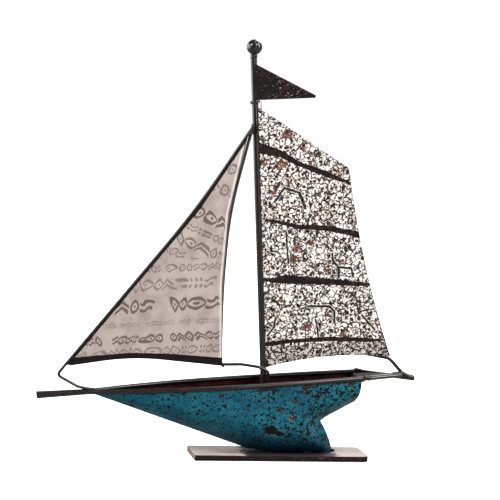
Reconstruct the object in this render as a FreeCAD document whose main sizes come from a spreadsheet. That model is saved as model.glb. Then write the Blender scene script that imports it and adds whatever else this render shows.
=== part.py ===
import FreeCAD, Part

import math
import os

import Sketcher
from FreeCAD import Placement, Rotation, Vector

# A table ornament: a two-sailed boat of painted sheet steel and welded rod, on a flat bar foot.
# Lengths are in millimetres and angles in degrees.
# The part's frame: X runs aft, Y to the port side, Z up, from the middle of the foot's underside.
# The boat's own frame: the same directions tipped by the pitch, from the deck line above the foot.

SIZES = [
    ("base_length", 178.0, "foot, along the boat"),
    ("base_depth", 50.0, "foot, across the boat"),
    ("base_thickness", 6.0, "foot, flat bar"),
    ("base_aft_corner", 6.0, "foot, rounding of its two aft corners"),
    ("base_fore_corner", 1.2, "foot, rounding of its two fore corners"),
    ("fit", 0.1, "clearance between pieces that touch"),
    ("pitch", 4.4, "boat, bow down against the foot"),
    ("keel_depth", 73.0, "hull, foot to deck line above the foot's middle"),
    ("rail_diameter", 4.76, "rails, round rod"),
    ("bow_x", -195.0, "rails, where the two part at the bow"),
    ("bow_bend", 20.0, "rails, bend at the bow"),
    ("bowsprit_length", 52.0, "rails, how far they run on past the bow"),
    ("bowsprit_drop", 0.85, "rails, half the step between them at the tip"),
    ("fore_shoulder_x", -117.0, "rails, fore corner of the deck plan"),
    ("aft_shoulder_x", 22.0, "rails, aft corner of the deck plan"),
    ("beam_half", 27.0, "rails, widest half breadth"),
    ("stern_x", 84.0, "rails, corner at the stern"),
    ("stern_half", 22.3, "rails, half breadth at the stern corner"),
    ("stern_bend", 9.0, "rails, bend at the stern corner"),
    ("tail_length", 54.0, "port rail, past the stern corner"),
    ("tail_drop", 7.0, "port rail, drop of its tip"),
    ("tail_side", 1.2, "port rail, its tip to starboard of the middle"),
    ("brace_length", 39.5, "starboard rail, past the stern corner"),
    ("brace_drop", 2.6, "starboard rail, drop of its tip"),
    ("brace_side", 1.3, "starboard rail, its tip to starboard of the middle"),
    ("hull_wall", 1.0, "hull, sheet thickness"),
    ("stem_x", -194.9, "hull, stem line at the deck line"),
    ("stem_angle", 23.1, "hull, stem line under the deck line"),
    ("heel_x", 50.1, "hull, aft end of the keel on the foot"),
    ("notch_x", 37.9, "hull, top of the keel's aft edge"),
    ("notch_depth", 43.3, "hull, the notch under the deck line"),
    ("keel_end_bulge", 1.8, "hull, bulge of the keel's aft edge"),
    ("counter_angle", 24.6, "hull, rise of the counter"),
    ("transom_x", 78.7, "hull, transom at the deck line"),
    ("transom_rake", 7.7, "hull, transom's lean"),
    ("bilge_depth", 45.0, "hull, height over which its side rounds in"),
    ("fullness", 2.5, "hull, power of that rounding"),
    ("seam", 1.0, "hull, how far the rounding runs past the seam"),
    ("skirt", 4.0, "hull, how far its skin is drawn past the seams before it is cut"),
    ("keel_round", 3.0, "hull, how far the rounding runs below the foot's top"),
    ("mast_diameter", 6.35, "mast, round rod"),
    ("mast_x", -18.2, "mast, its place along the deck"),
    ("mast_over_pennant", 12.85, "mast, its top above the pennant"),
    ("ball_diameter", 15.3, "masthead ball"),
    ("ball_socket", 3.0, "masthead ball, depth of its socket"),
    ("ball_offset", 1.1, "masthead ball, aft of the mast's middle"),
    ("tie_diameter", 2.6, "mast tie, wire"),
    ("tie_over_head", 4.9, "mast tie, its middle above the mainsail's head"),
    ("loop_diameter", 0.9, "head loop, wire"),
    ("loop_length", 9.5, "head loop, from the tie down behind the sail"),
    ("loop_toe", 2.4, "head loop, its bent lower end"),
    ("loop_bend", 1.5, "head loop, bend above the toe"),
    ("pennant_thickness", 0.9, "pennant, sheet"),
    ("pennant_over_tie", 1.65, "pennant, lower edge above the tie's middle"),
    ("pennant_hoist", 34.8, "pennant, height at the mast"),
    ("pennant_fly", 66.4, "pennant, length to the corner before it is rounded"),
    ("pennant_lap", 1.0, "pennant, how far it reaches forward of the mast's middle"),
    ("pennant_shoulder", 3.7, "pennant, level part of its top"),
    ("pennant_tip", 1.5, "pennant, rounding of the tip"),
    ("sail_thickness", 0.9, "sails, sheet"),
    ("wire_diameter", 3.0, "jib, rods round its edge"),
    ("jib_tilt", 0.95, "jib, its head leans to starboard of its foot"),
    ("jib_head_x", -20.5, "jib, upper end of the luff rod"),
    ("jib_head_height", 258.4, "jib, upper end of the luff rod"),
    ("jib_knee_x", -80.9, "jib, gentle bend of the luff rod"),
    ("jib_knee_height", 177.0, "jib, gentle bend of the luff rod"),
    ("jib_hook_x", -226.0, "jib, corner of the luff rod's hook"),
    ("jib_hook_height", 19.0, "jib, corner of the luff rod's hook"),
    ("jib_hook_bend", 3.5, "jib, rounding of the hook"),
    ("jib_hook_toe", -206.0, "jib, where the hook meets the rails"),
    ("jib_peak", 249.5, "jib, top of the sheet"),
    ("leech_gap", 4.7, "jib, from luff rod to leech rod at the peak"),
    ("leech_upper_x", -47.8, "jib, upper bend of the leech"),
    ("leech_upper_height", 172.0, "jib, upper bend of the leech"),
    ("leech_lower_x", -57.0, "jib, lower bend of the leech"),
    ("leech_lower_height", 100.0, "jib, lower bend of the leech"),
    ("clew_x", -60.0, "jib, lower aft corner"),
    ("clew_height", 19.3, "jib, lower aft corner"),
    ("foot_crown_x", -150.0, "jib, crown of the foot"),
    ("foot_crown_height", 34.0, "jib, crown of the foot"),
    ("tack_height", 28.4, "jib, lower fore corner"),
    ("boom_bend", 7.0, "jib boom, bends by the mast"),
    ("boom_turn_x", -40.2, "jib boom, where it starts to swing past the mast"),
    ("boom_turn_drop", 0.8, "jib boom, its drop there under the clew"),
    ("boom_front_x", -23.6, "jib boom, where it runs in front of the mast"),
    ("boom_front_drop", 3.9, "jib boom, its drop there under the clew"),
    ("boom_knee_drop", 9.0, "jib boom, drop under the clew where it turns down"),
    ("boom_toe", 8.0, "jib boom, how far it reaches below the deck line"),
    ("luff_wire_diameter", 2.0, "mainsail, wire up the mast"),
    ("luff_wire_set", 0.9, "mainsail, that wire aft of the mast's middle"),
    ("luff_wire_over", 2.0, "mainsail, that wire past the sail's head"),
    ("main_tack_height", 14.2, "mainsail, lower fore corner"),
    ("main_head_height", 276.3, "mainsail, upper fore corner"),
    ("peak_x", 74.3, "mainsail, end of the upper edge"),
    ("peak_height", 211.4, "mainsail, end of the upper edge"),
    ("peak_cut_x", 75.5, "mainsail, end of the small cut corner"),
    ("peak_cut_height", 203.6, "mainsail, end of the small cut corner"),
    ("leech_mid_x", 88.7, "mainsail, a point half way down the hollow leech"),
    ("leech_mid_height", 115.1, "mainsail, a point half way down the hollow leech"),
    ("main_clew_x", 112.6, "mainsail, lower aft corner"),
    ("main_clew_height", 17.9, "mainsail, lower aft corner"),
    ("foot_mid_x", 50.0, "mainsail, crown of the arched foot"),
    ("foot_mid_height", 21.7, "mainsail, crown of the arched foot"),
    ("strut_diameter", 3.5, "strut from the mainsail to the rail's tip"),
    ("strut_fore_x", 61.6, "strut, its fore end behind the sail"),
    ("strut_fore_height", 23.7, "strut, its fore end behind the sail"),
    ("strut_mid_x", 87.2, "strut, gentle bend behind the sail"),
    ("strut_mid_height", 21.9, "strut, gentle bend behind the sail"),
    ("strut_mid_bend", 60.0, "strut, radius of the gentle bend"),
    ("strut_clew_x", 111.8, "strut, bend at the clew"),
    ("strut_clew_height", 15.7, "strut, bend at the clew"),
    ("strut_bend", 9.0, "strut, radius of the bend at the clew"),
    ("strut_seat_side", 1.45, "strut, its end to starboard of the port rail's middle"),
    ("strut_seat_height", 3.2, "strut, its end above the port rail's middle"),
]

# Shares and steps that shape the curves without being sizes of the piece.
BEND_SHARE = 0.86
WIRE_BEND_SHARE = 0.45
BOOM_TURN_SHARE = 0.3
BOOM_TOE_SHARE = 0.72
STRUT_LANDING_SHARE = 0.8
SHARP_CORNER = 0.0
HULL_STATIONS = 34
HULL_ROWS = 14
SLOPE_STEP = 0.05
ROW_BLEND = 10.0
HALF_SPACE = 80.0

doc = FreeCAD.newDocument("sheet_steel_boat")

sheet = doc.addObject("Spreadsheet::Sheet", "sizes")
for row, (alias, value, note) in enumerate(SIZES, start=1):
    sheet.set("A%d" % row, note)
    sheet.set("B%d" % row, str(value))
    sheet.setAlias("B%d" % row, alias)
doc.recompute()


def size(alias):
    """A driving dimension, by its name in the sheet."""
    return float(sheet.get(alias))


RAIL = size("rail_diameter") / 2
MAST = size("mast_diameter") / 2
WIRE = size("wire_diameter") / 2
STRUT = size("strut_diameter") / 2
LUFF_WIRE = size("luff_wire_diameter") / 2
TIE = size("tie_diameter") / 2
LOOP = size("loop_diameter") / 2
FIT = size("fit")
PITCH = math.radians(size("pitch"))
DECK_HEIGHT = size("base_thickness") + size("keel_depth")
# The tie sits over the mainsail's head, the pennant over the tie, and the mast's top over both.
TIE_HEIGHT = size("main_head_height") + size("tie_over_head")
PENNANT_FOOT = TIE_HEIGHT + size("pennant_over_tie")
MAST_TOP = PENNANT_FOOT + size("pennant_hoist") + size("mast_over_pennant")
PENNANT_FOOT_CELLS = "sizes.main_head_height + sizes.tie_over_head + sizes.pennant_over_tie"

# Where the boat's own frame stands in the part's frame, and the jib's leaning plane in the boat's.
boat = Placement(Vector(0, 0, DECK_HEIGHT), Rotation(Vector(0, 1, 0), -size("pitch")))
jib_plane = Placement(Vector(0, 0, 0), Rotation(Vector(1, 0, 0), size("jib_tilt")))

sub_parts = []


def keep(piece, label, place):
    """Name a finished sub-part and set it in its place."""
    piece.Label = label
    piece.Placement = place
    sub_parts.append(piece)
    return piece


def foot_top(x):
    """Height of the foot's top face in the boat's frame, at the station x."""
    return -size("keel_depth") / math.cos(PITCH) - x * math.tan(PITCH)


# Paths of bent rod: straight runs joined by tangent arcs.

def turn_between(before, corner, after):
    """Angle by which a path turns at a corner."""
    return (corner - before).getAngle(after - corner)


def fitting_bend(before, corner, after, share):
    """Radius of an arc that takes a share of the shorter run beside a corner."""
    run = min((corner - before).Length, (after - corner).Length)
    return share * run / math.tan(turn_between(before, corner, after) / 2)


def rounded_edges(points, bends):
    """Edges along the points, with an arc of the given radius at each inner one."""
    edges = []
    start = points[0]
    for before, corner, after, bend in zip(points, points[1:], points[2:], bends):
        if bend <= 0:
            edges.append(Part.LineSegment(start, corner).toShape())
            start = corner
            continue
        turn = turn_between(before, corner, after)
        reach = bend * math.tan(turn / 2)
        incoming = (corner - before).normalize()
        outgoing = (after - corner).normalize()
        inward = (outgoing - incoming).normalize()
        first = corner - incoming * reach
        last = corner + outgoing * reach
        middle = corner + inward * (bend / math.cos(turn / 2) - bend)
        edges.append(Part.LineSegment(start, first).toShape())
        edges.append(Part.Arc(first, middle, last).toShape())
        start = last
    edges.append(Part.LineSegment(start, points[-1]).toShape())
    return edges


def bent_rod(label, points, bends, diameter, place):
    """A round rod swept along a bent path."""
    path = doc.addObject("Part::Feature", label + "_path")
    path.Shape = Part.Wire(rounded_edges(points, bends))
    section = doc.addObject("Part::Circle", label + "_section")
    section.setExpression("Radius", "sizes.%s / 2" % diameter)
    along = points[1] - points[0]
    section.Placement = Placement(points[0], Rotation(Vector(0, 0, 1), along))
    rod = doc.addObject("Part::Sweep", label)
    rod.Sections = [section]
    rod.Spine = (path, [])
    rod.Solid = True
    return keep(rod, label, place)


# Sketched sheets: each corner and each crown of a curved edge is tied to the sheet of sizes.

def origin_plane(body, role):
    """One of a body's own origin planes."""
    return next(item for item in body.Origin.OriginFeatures if item.Role == role)


def pin(sketch, geometry, position, across, up):
    """Tie a point of a sketch to two expressions."""
    for kind, text in (("DistanceX", across), ("DistanceY", up)):
        number = sketch.evalExpression(text)
        value = float(getattr(number, "Value", number))
        index = sketch.addConstraint(
            Sketcher.Constraint(kind, -1, 1, geometry, position, value))
        sketch.setExpression("Constraints[%d]" % index, text)


def place_of(sketch, pair):
    """The point that a pair of expressions gives."""
    numbers = [sketch.evalExpression(text) for text in pair]
    values = [float(getattr(number, "Value", number)) for number in numbers]
    return Vector(values[0], values[1], 0)


def sheet_body(label, corners, crowns, thickness, place):
    """A flat sheet with straight edges, and arcs where an edge has a crown.

    corners is a loop of expression pairs, and crowns gives the point that the edge
    after a numbered corner passes through. The sheet lies on the starboard side of
    its own upright plane.
    """
    body = doc.addObject("PartDesign::Body", label)
    sketch = body.newObject("Sketcher::SketchObject", label + "_outline")
    sketch.AttachmentSupport = (origin_plane(body, "XZ_Plane"), [""])
    sketch.MapMode = "FlatFace"
    points = [place_of(sketch, pair) for pair in corners]
    edges = []
    starts = []
    for number, point in enumerate(points):
        following = points[(number + 1) % len(points)]
        if number not in crowns:
            edges.append(sketch.addGeometry(Part.LineSegment(point, following), False))
            starts.append(1)
            continue
        crown = place_of(sketch, crowns[number])
        arc = Part.Arc(point, crown, following)
        edge = sketch.addGeometry(arc, False)
        begins_here = sketch.getPoint(edge, 1).distanceToPoint(point) < FIT
        starts.append(1 if begins_here else 2)
        edges.append(edge)
        mark = sketch.addGeometry(Part.Point(crown), True)
        pin(sketch, mark, 1, *crowns[number])
        sketch.addConstraint(Sketcher.Constraint("PointOnObject", mark, 1, edge))
    for number, pair in enumerate(corners):
        earlier = number - 1
        sketch.addConstraint(Sketcher.Constraint(
            "Coincident", edges[earlier], 3 - starts[earlier], edges[number], starts[number]))
        pin(sketch, edges[number], starts[number], *pair)
    pad = body.newObject("PartDesign::Pad", label + "_sheet")
    pad.Profile = sketch
    pad.setExpression("Length", "sizes." + thickness)
    body.Placement = place
    return body


# The foot

def build_foot():
    """The flat bar foot, with its aft corners rounded off."""
    body = doc.addObject("PartDesign::Body", "base_plate")
    sketch = body.newObject("Sketcher::SketchObject", "base_outline")
    sketch.AttachmentSupport = (origin_plane(body, "XY_Plane"), [""])
    sketch.MapMode = "FlatFace"
    half_length = size("base_length") / 2
    half_depth = size("base_depth") / 2
    corners = [
        Vector(-half_length, -half_depth, 0),
        Vector(half_length, -half_depth, 0),
        Vector(half_length, half_depth, 0),
        Vector(-half_length, half_depth, 0),
    ]
    for number, corner in enumerate(corners):
        following = corners[(number + 1) % len(corners)]
        sketch.addGeometry(Part.LineSegment(corner, following), False)
    for number in range(len(corners)):
        sketch.addConstraint(
            Sketcher.Constraint("Coincident", number, 2, (number + 1) % len(corners), 1))
    for across in (0, 2):
        sketch.addConstraint(Sketcher.Constraint("Horizontal", across))
    for along in (1, 3):
        sketch.addConstraint(Sketcher.Constraint("Vertical", along))
    sketch.addConstraint(Sketcher.Constraint("Symmetric", 0, 1, 1, 2, -1, 1))
    length = sketch.addConstraint(
        Sketcher.Constraint("DistanceX", 0, 1, 0, 2, size("base_length")))
    sketch.setExpression("Constraints[%d]" % length, "sizes.base_length")
    depth = sketch.addConstraint(
        Sketcher.Constraint("DistanceY", 1, 1, 1, 2, size("base_depth")))
    sketch.setExpression("Constraints[%d]" % depth, "sizes.base_depth")
    pad = body.newObject("PartDesign::Pad", "base_bar")
    pad.Profile = sketch
    pad.setExpression("Length", "sizes.base_thickness")
    doc.recompute()
    tip = pad
    for name, side, radius in (("aft", 1, "base_aft_corner"), ("fore", -1, "base_fore_corner")):
        upright = []
        for index, edge in enumerate(tip.Shape.Edges, start=1):
            box = edge.BoundBox
            at_end = side * box.Center.x > half_length - FIT
            if at_end and box.ZLength > size("base_thickness") / 2 and box.YLength < FIT:
                upright.append("Edge%d" % index)
        rounding = body.newObject("PartDesign::Fillet", "base_%s_corners" % name)
        rounding.Base = (tip, upright)
        rounding.setExpression("Radius", "sizes." + radius)
        doc.recompute()
        tip = rounding
    body.Tip = tip
    keep(body, "base_plate", Placement())


# The rails

def rail_plan():
    """Corners of the starboard rail's deck plan, from the bow to the stern."""
    return [
        Vector(size("bow_x"), -RAIL - FIT / 2, 0),
        Vector(size("fore_shoulder_x"), -size("beam_half"), 0),
        Vector(size("aft_shoulder_x"), -size("beam_half"), 0),
        Vector(size("stern_x"), -size("stern_half"), 0),
    ]


def shoulder_bends():
    """Radii of the rail's two long shoulders."""
    bow, fore, aft, stern = rail_plan()
    return (fitting_bend(bow, fore, aft, BEND_SHARE),
            fitting_bend(fore, aft, stern, BEND_SHARE))


def build_rails():
    """The two rails: bowsprit, deck edge and the struts that meet behind the stern."""
    fore_bend, aft_bend = shoulder_bends()
    bends = [size("bow_bend"), fore_bend, aft_bend, size("stern_bend")]
    step = math.hypot(RAIL, size("bowsprit_drop"))
    spread = RAIL * RAIL / step + FIT / 2
    tip_x = size("bow_x") - size("bowsprit_length")
    starboard_tip = Vector(size("stern_x") + size("brace_length"), -size("brace_side"),
                           -size("brace_drop"))
    port_tip = Vector(size("stern_x") + size("tail_length"), -size("tail_side"),
                      -size("tail_drop"))
    plan = rail_plan()
    start = Vector(tip_x, -spread, -size("bowsprit_drop"))
    bent_rod("starboard_rail", [start] + plan + [starboard_tip], bends, "rail_diameter", boat)
    mirrored = [Vector(corner.x, -corner.y, 0) for corner in plan]
    start = Vector(tip_x, spread, size("bowsprit_drop"))
    bent_rod("port_rail", [start] + mirrored + [port_tip], bends, "rail_diameter", boat)


def deck_half(x):
    """Half breadth of the rails' plan at the station x."""
    bow, fore, aft, stern = rail_plan()
    fore_bend, aft_bend = shoulder_bends()
    fore_slope = (fore.y - bow.y) / (fore.x - bow.x)
    aft_slope = (stern.y - aft.y) / (stern.x - aft.x)
    fore_reach = fore_bend * math.tan(math.atan(abs(fore_slope)) / 2)
    aft_reach = aft_bend * math.tan(math.atan(abs(aft_slope)) / 2)
    level_from = fore.x + fore_reach
    level_to = aft.x - aft_reach
    fore_start = fore.x - fore_reach * math.cos(math.atan(fore_slope))
    aft_end = aft.x + aft_reach * math.cos(math.atan(aft_slope))
    if x < fore_start:
        return -(fore.y + fore_slope * (x - fore.x))
    if x < level_from:
        return -fore.y - fore_bend + math.sqrt(fore_bend ** 2 - (x - level_from) ** 2)
    if x < level_to:
        return -fore.y
    if x < aft_end:
        return -aft.y - aft_bend + math.sqrt(aft_bend ** 2 - (x - level_to) ** 2)
    return -(aft.y + aft_slope * (x - aft.x))


# The hull

def smaller(first, second, blend):
    """The smaller of two distances, with the change between them rounded."""
    return (first + second - math.hypot(first - second, blend)) / 2


def larger(first, second, blend):
    """The larger of two distances, with the change between them rounded."""
    return (first + second + math.hypot(first - second, blend)) / 2


def hull_points():
    """Corners of the hull's side view: stem, forefoot, heel, notch, counter and transom."""
    stem = math.radians(size("stem_angle"))
    counter = math.tan(math.radians(size("counter_angle")))
    rake = math.tan(math.radians(size("transom_rake")))
    rim = -RAIL
    top = Vector(size("stem_x") - rim / math.tan(stem), 0, rim)
    rise = math.tan(stem) - math.tan(PITCH)
    forefoot_x = (size("keel_depth") / math.cos(PITCH) + size("stem_x") * math.tan(stem)) / rise
    forefoot = Vector(forefoot_x, 0, foot_top(forefoot_x))
    heel = Vector(size("heel_x"), 0, foot_top(size("heel_x")))
    notch = Vector(size("notch_x"), 0, -size("notch_depth"))
    low_z = (notch.z + counter * (size("transom_x") - notch.x)) / (1 - counter * rake)
    low = Vector(size("transom_x") + rake * low_z, 0, low_z)
    high = Vector(size("transom_x") + rake * rim, 0, rim)
    return top, forefoot, heel, notch, low, high


def keel_end_middle(heel, notch):
    """The middle of the keel's bulging aft edge."""
    chord = notch - heel
    aft = Vector(chord.z, 0, -chord.x).normalize()
    return heel + chord * 0.5 + aft * size("keel_end_bulge")


def inside_distance(x, z):
    """How far a point of the side view lies inside the hull's seams."""
    top, forefoot, heel, notch, low, high = hull_points()
    stem = math.radians(size("stem_angle"))
    counter = math.radians(size("counter_angle"))
    from_stem = (x - size("stem_x")) * math.sin(stem) + z * math.cos(stem)
    from_counter = (z - notch.z) * math.cos(counter) - (x - notch.x) * math.sin(counter)
    half = (notch - heel).Length / 2
    bulge = size("keel_end_bulge")
    radius = (half ** 2 + bulge ** 2) / (2 * bulge)
    middle = keel_end_middle(heel, notch)
    inward = (heel + (notch - heel) * 0.5 - middle).normalize()
    centre = middle + inward * radius
    from_keel_end = radius - math.hypot(x - centre.x, z - centre.z)
    from_aft = max(from_counter, from_keel_end)
    if from_counter > 0 and from_keel_end > 0:
        from_aft = math.hypot(from_counter, from_keel_end)
    from_foot = (z - foot_top(x)) * math.cos(PITCH) + size("keel_round")
    blend = 2 * size("seam")
    return smaller(smaller(from_stem, from_aft, blend) + size("seam"), from_foot, blend)


def hull_half(x, z):
    """Half breadth of the hull's outside, below nought where the side view ends."""
    at_rim = inside_distance(x, -RAIL)
    depth = size("bilge_depth")
    depth = max(depth * (1 - math.exp(-max(at_rim, 0) / depth)), 2 * size("seam"))
    inside = inside_distance(x, z)
    breadth = deck_half(x) + size("hull_wall") / 2
    if inside >= depth:
        return breadth
    if inside >= 0:
        return breadth * (1 - (1 - inside / depth) ** size("fullness"))
    limit = size("skirt")
    return breadth * size("fullness") * limit * math.tanh(inside / limit) / depth


def wall_half(x, z, offset):
    """Half breadth of a surface that lies an offset inside the hull's outside."""
    along = (hull_half(x + SLOPE_STEP, z) - hull_half(x - SLOPE_STEP, z)) / (2 * SLOPE_STEP)
    up = (hull_half(x, z + SLOPE_STEP) - hull_half(x, z - SLOPE_STEP)) / (2 * SLOPE_STEP)
    return hull_half(x, z) - offset * math.sqrt(1 + along ** 2 + up ** 2)


def even_knots(count):
    """Knots and their multiplicities of a cubic curve that starts and ends on its poles."""
    spans = count - 3
    return [share / spans for share in range(spans + 1)], [4] + [1] * (spans - 1) + [4]


def side_block(side, offset):
    """All that lies between one side's skin and the far side, as a solid."""
    first = size("stem_x") - FIT
    last = size("stern_x")
    high = 2 * size("seam")
    rows = []
    for station in range(HULL_STATIONS):
        x = first + (last - first) * station / (HULL_STATIONS - 1)
        stem_z = -(x - size("stem_x")) * math.tan(math.radians(size("stem_angle")))
        low = larger(stem_z - size("skirt"), foot_top(x) - size("skirt") / 2, ROW_BLEND)
        row = []
        for step in range(HULL_ROWS):
            z = high + (low - high) * step / (HULL_ROWS - 1)
            row.append(Vector(x, side * wall_half(x, z, offset), z))
        rows.append(row)
    across, across_times = even_knots(HULL_STATIONS)
    up, up_times = even_knots(HULL_ROWS)
    skin = Part.BSplineSurface()
    skin.buildFromPolesMultsKnots(
        rows, across_times, up_times, across, up, False, False, 3, 3)
    return skin.toShape().extrude(Vector(0, -side * HALF_SPACE, 0))


def side_view_block(wire_edges, side):
    """A side-view outline pushed out to one side of the middle plane."""
    face = Part.Face(Part.Wire(wire_edges))
    return face.extrude(Vector(0, side * HALF_SPACE, 0))


def hull_outline_edges():
    """The seams of the hull's side, as a closed loop in the middle plane."""
    top, forefoot, heel, notch, low, high = hull_points()
    return [
        Part.LineSegment(top, forefoot).toShape(),
        Part.LineSegment(forefoot, heel).toShape(),
        Part.Arc(heel, keel_end_middle(heel, notch), notch).toShape(),
        Part.LineSegment(notch, low).toShape(),
        Part.LineSegment(low, high).toShape(),
        Part.LineSegment(high, top).toShape(),
    ]


def transom_edges():
    """The strip of the side view that the transom plate takes up."""
    low, high = hull_points()[4:]
    along = (high - low).normalize()
    forward = Vector(-along.z, 0, along.x) * size("hull_wall")
    drop = along * -size("bilge_depth")
    corners = [high, high + forward, low + forward + drop, low + drop]
    pairs = zip(corners, corners[1:] + corners[:1])
    return [Part.LineSegment(first, second).toShape() for first, second in pairs]


def build_hull():
    """The hull's two bulged sides, seamed in the middle, and the transom between them."""
    transom_halves = []
    for name, side in (("starboard", -1), ("port", 1)):
        outer = side_block(side, 0.0)
        inner = side_block(side, size("hull_wall"))
        outline = side_view_block(hull_outline_edges(), side)
        skin = doc.addObject("Part::Feature", "hull_%s_side" % name)
        skin.Shape = largest_solid(outer.common(outline).cut(inner))
        keep(skin, "hull_%s_side" % name, boat)
        strip = side_view_block(transom_edges(), side)
        transom_halves.append(inner.common(strip).common(outline))
    transom = doc.addObject("Part::Feature", "transom_plate")
    transom.Shape = largest_solid(transom_halves[0].fuse(transom_halves[1]).removeSplitter())
    keep(transom, "transom_plate", boat)


def largest_solid(shape):
    """The largest solid of a shape."""
    return max(shape.Solids, key=lambda solid: solid.Volume)


# The mast and what it carries

def mast_foot_height():
    """Where the mast fills the hull's bottom from side to side."""
    height = foot_top(size("mast_x"))
    while wall_half(size("mast_x"), height, size("hull_wall")) < MAST + FIT:
        height += FIT
    return height


def build_mast():
    """The mast, the ball on its top and the wire tied round it."""
    foot = mast_foot_height()
    mast = doc.addObject("Part::Cylinder", "mast")
    mast.setExpression("Radius", "sizes.mast_diameter / 2")
    mast.setExpression("Height", PENNANT_FOOT_CELLS + " + sizes.pennant_hoist"
                       " + sizes.mast_over_pennant + %.3f" % -foot)
    stand = Placement(Vector(size("mast_x"), 0, foot), Rotation())
    keep(mast, "mast", boat.multiply(stand))

    ball_height = MAST_TOP - size("ball_socket") + size("ball_diameter") / 2
    ball = doc.addObject("Part::Sphere", "ball_blank")
    ball.setExpression("Radius", "sizes.ball_diameter / 2")
    socket = doc.addObject("Part::Cylinder", "ball_bore")
    socket.setExpression("Radius", "sizes.mast_diameter / 2 + sizes.fit")
    socket.setExpression("Height", "sizes.ball_diameter")
    socket.Placement = Placement(Vector(
        -size("ball_offset"), 0, MAST_TOP - ball_height + FIT
        - size("ball_diameter")), Rotation())
    drilled = doc.addObject("Part::Cut", "masthead_ball")
    drilled.Base = ball
    drilled.Tool = socket
    seat = Placement(Vector(size("mast_x") + size("ball_offset"), 0, ball_height), Rotation())
    keep(drilled, "masthead_ball", boat.multiply(seat))

    tie = doc.addObject("Part::Torus", "mast_tie")
    tie.setExpression("Radius1", "(sizes.mast_diameter + sizes.tie_diameter) / 2 + sizes.fit / 2")
    tie.setExpression("Radius2", "sizes.tie_diameter / 2")
    ring = Placement(Vector(size("mast_x"), 0, TIE_HEIGHT), Rotation())
    keep(tie, "mast_tie", boat.multiply(ring))


def build_pennant():
    """The pointed pennant, laid on the mast's starboard side."""
    hoist = "sizes.mast_x - sizes.pennant_lap"
    top = PENNANT_FOOT_CELLS + " + sizes.pennant_hoist"
    corners = [
        (hoist, PENNANT_FOOT_CELLS),
        ("sizes.mast_x - sizes.pennant_lap + sizes.pennant_fly", PENNANT_FOOT_CELLS),
        ("sizes.mast_x - sizes.pennant_lap + sizes.pennant_shoulder", top),
        (hoist, top),
    ]
    aside = Placement(Vector(0, -MAST - FIT / 2, 0), Rotation())
    body = sheet_body("pennant", corners, {}, "pennant_thickness", boat.multiply(aside))
    doc.recompute()
    sheet_pad = body.Tip
    furthest = max(
        range(len(sheet_pad.Shape.Edges)),
        key=lambda index: sheet_pad.Shape.Edges[index].BoundBox.XMin)
    rounding = body.newObject("PartDesign::Fillet", "pennant_tip_rounding")
    rounding.Base = (sheet_pad, ["Edge%d" % (furthest + 1)])
    rounding.setExpression("Radius", "sizes.pennant_tip")
    body.Tip = rounding
    keep(body, "pennant", body.Placement)


# The jib, in its own leaning plane

def jib_luff():
    """The luff rod's corners: head, knee and hook."""
    return (Vector(size("jib_head_x"), 0, size("jib_head_height")),
            Vector(size("jib_knee_x"), 0, size("jib_knee_height")),
            Vector(size("jib_hook_x"), 0, size("jib_hook_height")))


def on_line(first, second, height):
    """The point of a line at the given height."""
    share = (height - first.z) / (second.z - first.z)
    return first + (second - first) * share


def foot_line(x):
    """The jib's foot between its crown and its clew, at the station x."""
    share = (x - size("foot_crown_x")) / (size("clew_x") - size("foot_crown_x"))
    rise = size("clew_height") - size("foot_crown_height")
    return Vector(x, 0, size("foot_crown_height") + share * rise)


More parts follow.
